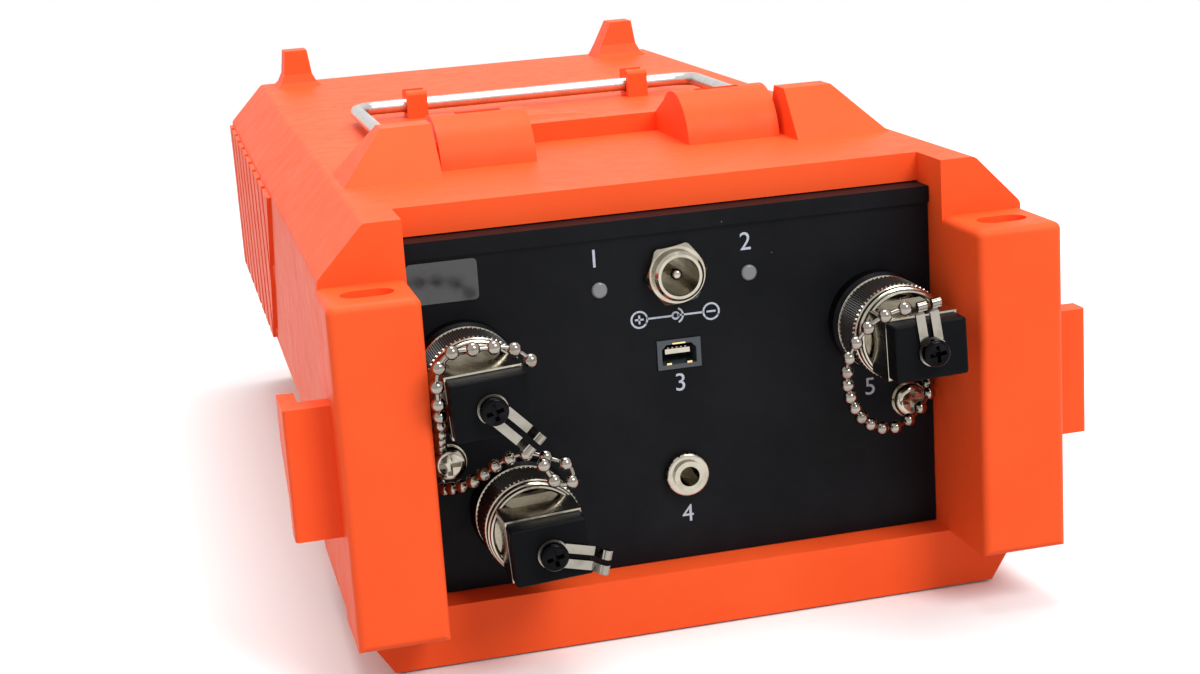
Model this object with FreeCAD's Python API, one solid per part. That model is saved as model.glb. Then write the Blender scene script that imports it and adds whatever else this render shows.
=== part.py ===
import FreeCAD, Part
import math
import os

# Hand-held optical time domain reflectometer in an orange two-shell housing.
# Frame: X across the connector panel, +Y from the panel to the rear, +Z up.
# The instrument lies on its screen side, so Z = 0 is the screen face and the
# bail stand is on top.  Y = 0 is the front face of the two corner guards
# while the pieces are modelled; export moves the middle of the length to Y = 0.
# All sizes are millimetres.

V = FreeCAD.Vector
X, Y, Z = V(1, 0, 0), V(0, 1, 0), V(0, 0, 1)

# ---------------------------------------------------------------- housing
LENGTH = 234.0
HALF_W = 63.7
HEIGHT = 80.4
REAR_TAPER = 2.1
WALL = 3.0
FACE_Y = 16.0
TOP_CHAMFER = (8.6, 9.0)
FOOT_CHAMFER = (7.0, 10.8)
GRIP_CHAMFER = (12.5, 33.5)
GRIP_START, GRIP_FULL = 43.5, 84.0
PARTING_Z = 41.4
EDGE_R = 1.6
SHELL_FIT = 0.15

# connector bay and corner guards
BAY_HALF_W = 48.4
BAY_FLOOR, BAY_TOP = 10.9, 75.2
TOP_BAR_Y = 26.9
GUARD_PROUD = 0.3
GUARD_Z = (10.8, 70.3)
GUARD_R = 1.4
DIMPLE_SIZE = (9.0, 5.6)
DIMPLE_DEPTH = 3.4

# strap hooks on the outside of the guards
HOOK_REACH = 8.0
HOOK_Y = 7.8
HOOK_Z = (29.2, 52.2)
HOOK_ARM = 4.8
HOOK_PLATE = 3.0
HOOK_TONGUE = 6.4

# back: feet, hinge barrels, ridge, clips, rear posts
REST_H = 9.2
FOOT_BASE_X, FOOT_BASE_Y = (34.8, 53.9), (52.8, 71.4)
FOOT_TOP_X, FOOT_TOP_Y = (35.0, 44.7), (61.1, 67.1)
BARREL_X = (15.2, 33.7)
BARREL_Y, BARREL_R, BARREL_DROP = 71.4, 10.4, 1.0
THUMB_CENTRE, THUMB_SIZE, THUMB_DEPTH = (-5.0, 113.0), (42.0, 32.0), 1.0
RIDGE_Y, RIDGE_H = (85.0, 90.0), 3.8
POST_X, POST_Y = 44.0, LENGTH - 7.5
POST_TOP, POST_BASE = (5.8, 7.0), (12.4, 12.0)
POST_FLARE, POST_FOOT, POST_SLOPE = 3.2, 1.0, 4.6

# side grips
GRIP_PROUD = 0.9
GRIP_Y_TOP, GRIP_Y_LOW = LENGTH - 125.0, LENGTH - 98.0
GRIP_REAR_GAP = 3.0
RIB_PITCH, RIB_GAP = 12.5, 3.6

# bail stand
WIRE_D = 3.0
WIRE_BEND = 5.0
PIVOT_Y, PIVOT_H = 78.0, 2.7
BAIL_HALF_W = 39.6
BAIL_REACH = 64.0
PIVOT_DEPTH = 9.0
PIVOT_FIT = 0.08
CLIP_X, CLIP_W, CLIP_WALL = 25.7, 4.6, 1.8
CLIP_TOP = 6.1
CLIP_FIT = 0.3

# connector panel
PANEL_Y, PANEL_T = 22.2, 2.2
PANEL_DEPTH = 8.4
PANEL_FIT = 0.2
LEDGE = 2.6
LEDGE_T = 3.0
STRIP_H, STRIP_PROUD = 3.0, 0.7
CAVITY_Y = PANEL_Y + PANEL_DEPTH + LEDGE_T

# sockets and lights on the panel
JACK_X = 0.0
DC_Z, DC_BORE, DC_BARREL = 64.4, 7.0, 9.0
DC_NUT_AF, DC_NUT_T, DC_PROUD = 10.4, 2.2, 4.0
DC_PIN_D, DC_TAIL = 2.1, 9.0
USB_Z, USB_SIZE, USB_WALL, USB_RIM = 49.6, (6.4, 3.7), 0.85, 0.9
USB_DEPTH, USB_PROUD = 9.0, 0.3
SERIAL_Z, SERIAL_BORE, SERIAL_BARREL = 27.2, 3.7, 5.6
SERIAL_NUT, SERIAL_NUT_T, SERIAL_PROUD, SERIAL_TAIL = 8.2, 1.8, 2.6, 9.0
LIGHT_X, LIGHT_Z, LIGHT_D = 13.8, 62.8, 2.9
SOCKET_FIT = 0.1

# optical ports: name, x, z, direction of the cap link in degrees from +X,
# and the small turn at which the head is clamped
PORTS = (
    ("right", 37.5, 51.5, 98.0, 1.8),
    ("upper_left", -39.1, 51.5, -46.0, 3.6),
    ("lower_left", -31.0, 25.3, -14.0, 3.4),
)
PORT_BASE_D, PORT_BASE_T = 18.2, 3.2
RING_D, RING_L, RING_BORE = 17.6, 11.2, 15.0
RING_GAP = 0.15
NECK_D, NECK_FIT, NECK_BORE = 13.2, 0.1, 8.0
HEAD_D, HEAD_SET_BACK, HEAD_FLAT = 14.4, 1.2, 12.6
RING_WEB = 2.4
SLEEVE_SIZE, SLEEVE_WALL = (13.2, 10.9), 0.9
SLEEVE_PROUD, SLEEVE_RIM = 9.1, 0.25
CAP_SIZE, CAP_T, CAP_PLUG, CAP_FIT = (13.2, 10.0), 3.9, 7.0, 0.15
CAP_SCREW_HEAD, CAP_SCREW_T, CAP_SCREW_D = 4.8, 2.0, 2.0
LINK_T, LINK_EYE, LINK_REACH, LINK_PRONG, LINK_SPREAD = 0.6, 5.2, 9.6, 1.6, 1.3
LINK_LIFT, LINK_CURL = 1.6, 0.7
LINK_FIT = 0.06

# chain fixings
FIXING_X, FIXING_Z = 43.3, 35.5
FIXING_HEAD, FIXING_HEAD_T, FIXING_D, FIXING_L = 6.2, 1.9, 3.0, 9.0
EYELET_D, EYELET_T, EYELET_REACH, EYELET_TAB = 6.7, 0.5, 4.5, 2.6
RIGHT_TAB, LOOP_TAB, FREE_TAB = 40.0, -118.0, 110.0
BEAD_D = 2.25
LANDING = 3.3

# screen side: overlay, display, keys
OVERLAY_HALF_W, OVERLAY_Y = 43.5, (50.0, LENGTH - 20.0)
OVERLAY_LIP, OVERLAY_RECESS = 1.6, 1.2
OVERLAY_FIT = 0.15
LENS_FIT = 0.15
KEY_FIT = 0.2
KEY_PROUD, KEY_FLANGE, KEY_FLANGE_T, KEY_TRAVEL = 0.8, 0.9, 0.8, 0.8
KEY_CLEARANCE = 0.4
MAT_T, BOARD_T = 1.0, 1.6
SOFT_KEY = (14.0, 7.0)
NAV_KEY, ENTER_KEY_D = (12.0, 9.0), 12.5
SIDE_KEY, SIDE_KEY_X = (13.0, 8.0), OVERLAY_HALF_W - 12.5
POWER_KEY_D, NAV_REACH = 12.0, 15.0
LOW_KEY_Y = OVERLAY_Y[1] - 22.0
NAV_Y = LOW_KEY_Y - 36.0
SOFT_KEY_Y = NAV_Y - 30.0
WINDOW_HALF_W = OVERLAY_HALF_W - 5.5
WINDOW_Y = (OVERLAY_Y[0] + 6.0, SOFT_KEY_Y - 12.0)
SOFT_KEY_PITCH = WINDOW_HALF_W / 2

# inner assemblies
BATTERY_SECTION, BATTERY_GAP, BATTERY_REAR_GAP = (70.0, 21.0), 23.0, 12.0
OPTICS_HALF_W, OPTICS_L, OPTICS_TOP = 38.0, 66.0, 59.0
OPTICS_GAP = 0.2
CASE_SCREW_FRONT = (50.0, 40.0)
CASE_SCREW_REAR = (40.5, LENGTH - 13.0)
BOSS_R, SCREW_HEAD_R, SCREW_R = 4.6, 2.8, 1.5
SCREW_SEAT_Z, SCREW_HEAD_T, SCREW_TOP_Z = 27.0, 2.4, 51.0

# bead chain routes, from the cap link or free end to just short of an eyelet
CHAIN_RIGHT = (
    V(33.2, -6.1, 60.2), V(28.2, -5.8, 59.4), V(24.8, -4.2, 56.2),
    V(23.2, -1.4, 51.4), V(24.0, 2.0, 46.2), V(26.4, 5.8, 40.6),
    V(30.2, 9.4, 35.8), V(36.0, 12.6, 32.9), V(41.2, 14.9, 33.9),
    V(44.4, 16.4, 36.4),
)
CHAIN_FREE = (
    V(-31.6, -5.0, 58.0), V(-34.2, -5.3, 61.8), V(-40.5, -5.4, 62.0),
    V(-46.0, -5.2, 62.2), V(-47.9, -4.6, 58.6), V(-47.7, -3.2, 52.4),
    V(-46.9, 1.6, 48.4), V(-46.6, 6.4, 44.2), V(-45.8, 12.6, 40.6),
)
CHAIN_LOOP = (
    V(-32.1, -5.9, 42.4), V(-31.0, -5.6, 39.6), V(-29.4, -5.3, 37.4),
    V(-26.7, -5.0, 37.1), V(-26.6, -4.6, 40.1), V(-29.3, -3.8, 41.3),
    V(-33.2, -1.4, 42.6), V(-37.0, 2.0, 40.6), V(-39.6, 5.2, 37.8),
    V(-41.8, 9.0, 35.0), V(-44.0, 13.2, 33.2),
)


# ---------------------------------------------------------------- helpers
def box(x0, x1, y0, y1, z0, z1):
    return Part.makeBox(x1 - x0, y1 - y0, z1 - z0, V(x0, y0, z0))


def rod(start, axis, radius, length):
    return Part.makeCylinder(radius, length, start, axis)


def fuse(shapes):
    result = shapes[0].multiFuse(list(shapes[1:]))
    return result.removeSplitter()


def cut(shape, tools):
    for tool in tools:
        shape = shape.cut(tool)
    return shape


def mirrored(shape):
    return shape.mirror(V(0, 0, 0), X)


def both_sides(shape):
    return [shape, mirrored(shape)]


def polygon_face(points):
    return Part.Face(Part.makePolygon(list(points) + [points[0]]))


def prism(points, vector):
    return polygon_face(points).extrude(vector)


def frustum(first, last):
    """A solid between two outlines with the same number of corners."""
    count = len(first)
    faces = [polygon_face(first), polygon_face(last)]
    for i in range(count):
        j = (i + 1) % count
        faces.append(polygon_face([first[i], first[j], last[j], last[i]]))
    return Part.Solid(Part.Shell(faces))


def rectangle(x0, x1, y0, y1, z):
    return [V(x0, y0, z), V(x1, y0, z), V(x1, y1, z), V(x0, y1, z)]


def stadium(cx, cy, width, depth, z0, height):
    """An upright solid with a rectangular outline and fully round ends."""
    radius = min(width, depth) / 2
    if abs(width - depth) < 1e-6:
        return Part.makeCylinder(radius, height, V(cx, cy, z0), Z)
    if width > depth:
        half = width / 2 - radius
        ends = [V(cx - half, cy, z0), V(cx + half, cy, z0)]
        bar = box(cx - half, cx + half, cy - radius, cy + radius, z0, z0 + height)
    else:
        half = depth / 2 - radius
        ends = [V(cx, cy - half, z0), V(cx, cy + half, z0)]
        bar = box(cx - radius, cx + radius, cy - half, cy + half, z0, z0 + height)
    solids = [Part.makeCylinder(radius, height, end, Z) for end in ends]
    return fuse(solids + [bar])


def rounded_box(x0, x1, y0, y1, z0, z1, radius):
    """A box with its four upright edges rounded."""
    solid = box(x0, x1, y0, y1, z0, z1)
    upright = [e for e in solid.Edges if abs(e.tangentAt(e.FirstParameter).z) > 0.99]
    return solid.makeFillet(radius, upright)


def hex_prism(x, z, across_flats, y0, y1):
    radius = across_flats / math.sqrt(3)
    corners = []
    for i in range(6):
        angle = math.radians(60 * i + 8)
        corners.append(V(x + radius * math.cos(angle), y0, z + radius * math.sin(angle)))
    return prism(corners, V(0, y1 - y0, 0))


def tube_y(x, z, outer_d, inner_d, y0, y1):
    outer = rod(V(x, y0, z), Y, outer_d / 2, y1 - y0)
    inner = rod(V(x, y0 - 1, z), Y, inner_d / 2, y1 - y0 + 2)
    return outer.cut(inner)


def phillips(x, z, y, size, depth):
    """A cross recess opening towards -Y."""
    arm = size * 0.24
    bars = [
        box(x - size / 2, x + size / 2, y - 1, y + depth, z - arm / 2, z + arm / 2),
        box(x - arm / 2, x + arm / 2, y - 1, y + depth, z - size / 2, z + size / 2),
    ]
    return fuse(bars)


def side_x(y):
    """Half width of the housing at a depth y."""
    return HALF_W - REAR_TAPER * y / LENGTH


# ---------------------------------------------------------------- housing
def housing_section(y, inset):
    """The eight-sided section of the housing, drawn in by a wall."""
    half = side_x(y) - inset
    top = HEIGHT - inset
    low = inset
    cx, cz = TOP_CHAMFER
    fx, fz = FOOT_CHAMFER
    right = [
        V(half - fx, y, low), V(half, y, low + fz),
        V(half, y, top - cz), V(half - cx, y, top),
    ]
    left = [V(-p.x, p.y, p.z) for p in reversed(right)]
    return right + left


def grip_chamfer_tool(inset):
    """The wedge that thins the lower rear edge for the hand."""
    gx, gz = GRIP_CHAMFER
    slope = gx / gz
    reach = 20.0
    outlines = []
    for y in (0, LENGTH + 5):
        half = side_x(y) - inset
        outlines.append([
            V(half - gx - reach * slope, y, inset - reach),
            V(half + reach, y, inset - reach),
            V(half + reach, y, inset + gz),
            V(half, y, inset + gz),
        ])
    wedge = frustum(*outlines)
    run = (GRIP_FULL - GRIP_START) / gz
    foot_y, head_y = GRIP_START - 2 * reach * run, GRIP_FULL + 2 * reach * run
    ramp = prism(
        [V(0, foot_y, inset - 2 * reach), V(0, head_y, inset + gz + 2 * reach),
         V(0, -LENGTH, inset + gz + 2 * reach), V(0, -LENGTH, inset - 2 * reach)],
        V(2 * HALF_W, 0, 0),
    )
    return wedge.cut(ramp)


def housing_hull(inset, y0, y1):
    hull = frustum(housing_section(y0, inset), housing_section(y1, inset))
    if inset == 0:
        long_edges = [e for e in hull.Edges if e.Length > (y1 - y0) * 0.9]
        upper = [e for e in long_edges if e.CenterOfMass.z > PARTING_Z]
        hull = hull.makeFillet(EDGE_R, upper)
    return cut(hull, both_sides(grip_chamfer_tool(inset)))


def corner_guard():
    outer = HALF_W + GUARD_PROUD
    z0, z1 = GUARD_Z
    guard = box(BAY_HALF_W, outer, 0, FACE_Y + 1, z0, z1)
    edges = []
    for edge in guard.Edges:
        middle = edge.CenterOfMass
        if middle.y < 0.01 or (middle.y < FACE_Y and middle.z > z1 - 0.01):
            edges.append(edge)
    guard = guard.makeFillet(GUARD_R, edges)
    dimple = stadium(
        (BAY_HALF_W + outer) / 2, FACE_Y / 2, DIMPLE_SIZE[0], DIMPLE_SIZE[1],
        z1 - DIMPLE_DEPTH, DIMPLE_DEPTH + 1,
    )
    return guard.cut(dimple)


def side_grip():
    """Ribbed grip pad on the right side, from its slanted front edge to the rear."""
    rear = LENGTH - GRIP_REAR_GAP
    low = GRIP_CHAMFER[1] + 0.6
    top = HEIGHT - TOP_CHAMFER[1] - 0.6
    outline = [
        V(0, GRIP_Y_TOP, top), V(0, rear, top), V(0, rear, low), V(0, GRIP_Y_LOW, low),
    ]
    skin = frustum(
        [V(side_x(p.y) - 1, p.y, p.z) for p in outline],
        [V(side_x(p.y) + GRIP_PROUD, p.y, p.z) for p in outline],
    )
    grooves = []
    y = GRIP_Y_TOP + RIB_PITCH
    while y < rear - RIB_PITCH * 0.6:
        grooves.append(box(side_x(y) + 0.1, HALF_W + 9, y, y + RIB_GAP, low - 1, top + 1))
        y += RIB_PITCH
    return cut(skin, grooves)


def back_foot():
    z0, z1 = HEIGHT - 0.5, HEIGHT + REST_H
    base = rectangle(*FOOT_BASE_X, *FOOT_BASE_Y, z0)
    top = rectangle(*FOOT_TOP_X, *FOOT_TOP_Y, z1)
    return frustum(base, top)


def rear_post(slope=0.0):
    """Post with a hollow foot; its inner side can lean by a slope."""
    top = HEIGHT + REST_H
    neck = (POST_TOP[0] + 1.4, POST_TOP[1] + 1.4)
    foot = (0.4 * POST_BASE[0] + 0.6 * neck[0], 0.4 * POST_BASE[1] + 0.6 * neck[1])
    levels = [
        (POST_BASE, HEIGHT - 0.5), (foot, HEIGHT + POST_FOOT),
        (neck, HEIGHT + POST_FLARE), (POST_TOP, top),
    ]
    outlines = []
    for size, z in levels:
        lean = slope * (top - z) / REST_H
        outlines.append(rectangle(
            POST_X - max(size[0] / 2, POST_TOP[0] / 2 + lean), POST_X + size[0] / 2,
            POST_Y - size[1] / 2, POST_Y + size[1] / 2, z))
    return fuse([frustum(low, high) for low, high in zip(outlines, outlines[1:])])


def thumb_recess():
    """Shallow oval hollow in the back, behind the hinge ridge."""
    half_x, half_y = THUMB_SIZE[0] / 2, THUMB_SIZE[1] / 2
    sphere = Part.makeSphere(half_y)
    widen = FreeCAD.Matrix()
    widen.scale(V(half_x / half_y, 1, 3 * THUMB_DEPTH / half_y))
    oval = sphere.transformGeometry(widen)
    oval.translate(V(THUMB_CENTRE[0], THUMB_CENTRE[1], HEIGHT + 2 * THUMB_DEPTH))
    return oval


def hinge_barrel():
    """Hinge housing: a round front, a slope to the ridge, a bore for the bail."""
    centre_z = HEIGHT - BARREL_DROP
    x0, x1 = BARREL_X
    half_angle = math.radians(40)
    front = V(x0, BARREL_Y - BARREL_R, centre_z)
    crown = V(x0, BARREL_Y, centre_z + BARREL_R)
    leave = V(x0, BARREL_Y + BARREL_R * math.sin(half_angle),
              centre_z + BARREL_R * math.cos(half_angle))
    ridge_rear = V(x0, RIDGE_Y[1], HEIGHT + RIDGE_H * 0.4)
    floor_rear = V(x0, RIDGE_Y[1], HEIGHT - 1.5)
    floor_front = V(x0, front.y, HEIGHT - 1.5)
    edges = [
        Part.Arc(front, crown, leave).toShape(),
        Part.makeLine(leave, ridge_rear),
        Part.makeLine(ridge_rear, floor_rear),
        Part.makeLine(floor_rear, floor_front),
        Part.makeLine(floor_front, front),
    ]
    body = Part.Face(Part.Wire(edges)).extrude(V(x1 - x0, 0, 0))
    slot = box(x0 + 4.5, x0 + 13.5, BARREL_Y - 1.2, BARREL_Y + 1.0,
               centre_z + BARREL_R - 2.2, centre_z + BARREL_R + 1)
    bore = rod(V(x1 + 1, PIVOT_Y, HEIGHT + PIVOT_H), V(-1, 0, 0),
               WIRE_D / 2 + PIVOT_FIT, PIVOT_DEPTH + 1.4)
    return cut(body, [slot, bore])


def hinge_ridge():
    half = BARREL_X[0] + 1
    return box(-half, half, RIDGE_Y[0], RIDGE_Y[1], HEIGHT - 0.5, HEIGHT + RIDGE_H)


def bail_clip():
    """Two upright fingers that hold the crossbar of the folded bail."""
    bar_y = PIVOT_Y + BAIL_REACH
    gap = WIRE_D / 2 + CLIP_FIT
    x0, x1 = CLIP_X - CLIP_W / 2, CLIP_X + CLIP_W / 2
    z0, z1 = HEIGHT - 0.5, HEIGHT + CLIP_TOP
    fingers = []
    for sign in (-1, 1):
        inner, outer = bar_y + sign * gap, bar_y + sign * (gap + CLIP_WALL)
        finger = box(x0, x1, min(inner, outer), max(inner, outer), z0, z1)
        crest = [
            e for e in finger.Edges
            if e.CenterOfMass.z > z1 - 0.01 and abs(e.CenterOfMass.y - outer) < 0.01
        ]
        fingers.append(finger.makeFillet(CLIP_WALL * 0.6, crest))
    saddle = box(x0, x1, bar_y - gap - 0.1, bar_y + gap + 0.1, z0,
                 HEIGHT + PIVOT_H - WIRE_D / 2 - CLIP_FIT)
    return fuse(fingers + [saddle])


def strap_hook(sign, tongue):
    """A hook on the guard; one of them carries a tongue with a strap gap."""
    x0, x1 = HALF_W + GUARD_PROUD, HALF_W + GUARD_PROUD + HOOK_REACH
    z0, z1 = HOOK_Z
    hook = box(x0 - 1, x1, HOOK_Y, HOOK_Y + HOOK_ARM, z0, z1)
    if tongue:
        rear = HOOK_Y + HOOK_ARM + HOOK_TONGUE
        outline = [
            V(x1 - HOOK_PLATE, HOOK_Y + 1, z0 + 2), V(x1 - HOOK_PLATE, HOOK_Y + 1, z1),
            V(x1 - HOOK_PLATE, rear, z1), V(x1 - HOOK_PLATE, rear, z1 - 9),
        ]
        hook = fuse([hook, prism(outline, V(HOOK_PLATE, 0, 0))])
    corner = [
        e for e in hook.Edges
        if abs(e.CenterOfMass.x - x1) < 0.01 and abs(e.CenterOfMass.y - HOOK_Y) < 0.01
    ]
    hook = hook.makeFillet(0.8, corner)
    hook = hook.cut(box(x0 - 2, x0, HOOK_Y - 1, HOOK_Y + 9, z0 - 1, z1 + 1))
    return hook if sign > 0 else mirrored(hook)


def bay_tool():
    """Space in front of the panel, the panel seat and the opening behind it."""
    front = box(-BAY_HALF_W, BAY_HALF_W, -1, PANEL_Y + PANEL_DEPTH, BAY_FLOOR, BAY_TOP)
    above = box(-BAY_HALF_W, BAY_HALF_W, -1, TOP_BAR_Y, BAY_TOP - 1, HEIGHT + 5)
    behind = box(
        -BAY_HALF_W + LEDGE, BAY_HALF_W - LEDGE, PANEL_Y, CAVITY_Y + 1,
        BAY_FLOOR + LEDGE, BAY_TOP - LEDGE,
    )
    return fuse([front, above, behind])


def overlay_window():
    """Stepped opening in the screen face: a lip outside, the overlay seat inside."""
    y0, y1 = OVERLAY_Y
    half = OVERLAY_HALF_W
    lip = rounded_box(-half + OVERLAY_LIP, half - OVERLAY_LIP, y0 + OVERLAY_LIP,
                      y1 - OVERLAY_LIP, -1, OVERLAY_RECESS + 1, 5.0)
    seat = rounded_box(-half, half, y0, y1, OVERLAY_RECESS, WALL + 1, 6.0)
    return fuse([lip, seat])


def screw_places():
    places = []
    for x, y in (CASE_SCREW_FRONT, CASE_SCREW_REAR):
        places += [(x, y), (-x, y)]
    return places


def whole_housing():
    hull = housing_hull(0, FACE_Y, LENGTH)
    cavity = housing_hull(WALL, CAVITY_Y, LENGTH - WALL)
    bosses = []
    for x, y in screw_places():
        bosses.append(rod(V(x, y, WALL - 1), Z, BOSS_R, HEIGHT - 2 * WALL + 2))
    hull = hull.cut(cavity)
    hull = hull.fuse([b.common(cavity) for b in bosses])
    hull = hull.cut(bay_tool())
    pieces = [hull]
    for shape in (corner_guard(), side_grip(), back_foot(), hinge_barrel(), bail_clip()):
        pieces += both_sides(shape)
    pieces += [hinge_ridge(), rear_post(POST_SLOPE), mirrored(rear_post())]
    housing = pieces[0].fuse(pieces[1:])
    bores = []
    for x, y in screw_places():
        bores.append(rod(V(x, y, -1), Z, SCREW_HEAD_R + SHELL_FIT, SCREW_SEAT_Z + 1))
        bores.append(rod(V(x, y, -1), Z, SCREW_R, SCREW_TOP_Z + 1.5))
    return cut(housing, bores + [overlay_window(), thumb_recess()])


def back_shell(housing):
    upper = box(-LENGTH, LENGTH, -LENGTH, 2 * LENGTH, PARTING_Z, LENGTH)
    shell = housing.common(upper)
    return fuse([shell, strap_hook(1, False), strap_hook(-1, True)])


def front_shell(housing):
    lower = box(-LENGTH, LENGTH, -LENGTH, 2 * LENGTH, -LENGTH, PARTING_Z)
    return housing.common(lower).removeSplitter()


def case_screw(x, y):
    head = rod(V(x, y, SCREW_SEAT_Z - SCREW_HEAD_T), Z, SCREW_HEAD_R, SCREW_HEAD_T)
    shank = rod(V(x, y, SCREW_SEAT_Z - 0.5), Z, SCREW_R, SCREW_TOP_Z - SCREW_SEAT_Z + 0.5)
    socket = box(x - 1.6, x + 1.6, y - 0.4, y + 0.4, 0, SCREW_SEAT_Z - 1.2)
    return fuse([head, shank]).cut(socket)


# ---------------------------------------------------------------- bail stand
def bail_stand():
    """One bent wire: two short pivots, two legs and the crossbar."""
    z = HEIGHT + PIVOT_H
    tip = BARREL_X[1] - PIVOT_DEPTH
    bar_y = PIVOT_Y + BAIL_REACH
    corners = [
        V(tip, PIVOT_Y, z), V(BAIL_HALF_W, PIVOT_Y, z), V(BAIL_HALF_W, bar_y, z),
        V(-BAIL_HALF_W, bar_y, z), V(-BAIL_HALF_W, PIVOT_Y, z), V(-tip, PIVOT_Y, z),
    ]
    radii = [3.4, WIRE_BEND, WIRE_BEND, 3.4]
    return round_tube(corners, radii, WIRE_D)


def round_tube(points, radii, diameter):
    """A tube along straight runs joined by tangent arcs."""
    edges = []
    start = points[0]
    for i in range(1, len(points) - 1):
        before = (points[i] - points[i - 1]).normalize()
        after = (points[i + 1] - points[i]).normalize()
        turn = before.getAngle(after)
        setback = radii[i - 1] * math.tan(turn / 2)
        enter = points[i] - before * setback
        leave = points[i] + after * setback
        inward = (after - before).normalize()
        centre = points[i] + inward * (radii[i - 1] / math.cos(turn / 2))
        middle = centre - inward * radii[i - 1]
        edges.append(Part.LineSegment(start, enter).toShape())
        edges.append(Part.Arc(enter, middle, leave).toShape())
        start = leave
    edges.append(Part.LineSegment(start, points[-1]).toShape())
    path = Part.Wire(edges)
    heading = (points[1] - points[0]).normalize()
    ring = Part.Wire(Part.makeCircle(diameter / 2, points[0], heading))
    tube = path.makePipeShell([ring], True, False)
    expected = math.pi * diameter ** 2 / 4 * path.Length
    print("tube length %.1f, volume ratio %.4f" % (path.Length, tube.Volume / expected))
    return tube


def chain_radii(points):
    """The largest arc that each corner's two runs allow."""
    radii = []
    for i in range(1, len(points) - 1):
        before = points[i] - points[i - 1]
        after = points[i + 1] - points[i]
        shorter = min(before.Length, after.Length)
        radii.append(0.45 * shorter / math.tan(before.getAngle(after) / 2))
    print("chain radii", ["%.1f" % r for r in radii])
    return radii


def bead_chain(points):
    return round_tube(list(points), chain_radii(points), BEAD_D)


# ---------------------------------------------------------------- panel
def panel_back():
    return PANEL_Y + PANEL_T


def light_place(sign):
    return V(sign * LIGHT_X, PANEL_Y, LIGHT_Z)


def connector_panel():
    """Shallow tray that slides in from the front, with every socket hole."""
    half = BAY_HALF_W - PANEL_FIT
    z0, z1 = BAY_FLOOR + PANEL_FIT, BAY_TOP - PANEL_FIT
    rear = PANEL_Y + PANEL_DEPTH
    tray = box(-half, half, PANEL_Y, rear, z0, z1)
    hollow = box(-half + PANEL_T, half - PANEL_T, panel_back(), rear + 1,
                 z0 + PANEL_T, z1 - PANEL_T)
    strip = box(-half, half, PANEL_Y - STRIP_PROUD, PANEL_Y + 0.5, z1 - STRIP_H, z1)
    tray = fuse([tray.cut(hollow), strip])
    holes = [
        hole_y(JACK_X, DC_Z, DC_BARREL + 2 * SOCKET_FIT),
        hole_y(JACK_X, SERIAL_Z, SERIAL_BARREL + 2 * SOCKET_FIT),
        usb_box(SOCKET_FIT, PANEL_Y - 1, rear),
    ]
    for sign in (-1, 1):
        holes.append(hole_y(sign * LIGHT_X, LIGHT_Z, LIGHT_D))
        holes.append(hole_y(sign * FIXING_X, FIXING_Z, FIXING_D))
    for _, x, z, _, _ in PORTS:
        holes.append(hole_y(x, z, NECK_D))
    return cut(tray, holes)


def hole_y(x, z, diameter):
    return rod(V(x, PANEL_Y - 3, z), Y, diameter / 2, PANEL_T + 6)


def usb_box(margin, y0, y1):
    width = USB_SIZE[0] / 2 + USB_WALL + margin
    height = USB_SIZE[1] / 2 + USB_WALL + margin
    return box(JACK_X - width, JACK_X + width, y0, y1, USB_Z - height, USB_Z + height)


def usb_socket():
    """Moulded socket whose mouth has chamfered upper corners."""
    y0, y1 = PANEL_Y - USB_PROUD, PANEL_Y - USB_PROUD + USB_DEPTH
    outer = usb_box(0, y0, y1)
    w, h = USB_SIZE[0] / 2, USB_SIZE[1] / 2
    step = 0.9
    mouth = prism(
        [V(JACK_X - w, y0 - 1, USB_Z + h - step), V(JACK_X - w + step, y0 - 1, USB_Z + h),
         V(JACK_X + w - step, y0 - 1, USB_Z + h), V(JACK_X + w, y0 - 1, USB_Z + h - step),
         V(JACK_X + w, y0 - 1, USB_Z - h), V(JACK_X - w, y0 - 1, USB_Z - h)],
        V(0, USB_DEPTH, 0),
    )
    return outer.cut(mouth)


def usb_contacts():
    """Contact carrier inside the socket, with five contact strips."""
    y1 = PANEL_Y - USB_PROUD + USB_DEPTH - 1
    y0 = PANEL_Y + USB_RIM
    z = USB_Z + 0.3
    carrier = box(JACK_X - 2.3, JACK_X + 2.3, y0, y1, z - 0.45, z + 0.45)
    strips = []
    for i in range(5):
        x = JACK_X + (i - 2) * 0.8
        strips.append(box(x - 0.18, x + 0.18, y0 + 0.4, y1, z + 0.35, z + 0.62))
    return fuse([carrier] + strips)


def dc_jack():
    """Threaded barrel with a rim in front, a flange behind and a closed tail."""
    y0 = PANEL_Y - DC_PROUD
    barrel = rod(V(JACK_X, y0, DC_Z), Y, DC_BARREL / 2, DC_PROUD + PANEL_T + DC_TAIL)
    flange = rod(V(JACK_X, panel_back(), DC_Z), Y, DC_BARREL / 2 + 1.4, DC_TAIL)
    body = fuse([barrel, flange])
    lip = [e for e in body.Edges if abs(e.CenterOfMass.y - y0) < 0.01]
    body = body.makeChamfer(0.5, lip)
    bore = rod(V(JACK_X, y0 - 1, DC_Z), Y, DC_BORE / 2, DC_PROUD + PANEL_T + DC_TAIL - 1)
    return body.cut(bore)


def dc_pin():
    y1 = panel_back() + DC_TAIL - 2
    y0 = PANEL_Y - DC_PROUD + 1.6
    pin = rod(V(JACK_X, y0, DC_Z), Y, DC_PIN_D / 2, y1 - y0)
    tip = [e for e in pin.Edges if abs(e.CenterOfMass.y - y0) < 0.01]
    return pin.makeFillet(DC_PIN_D * 0.45, tip)


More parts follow.
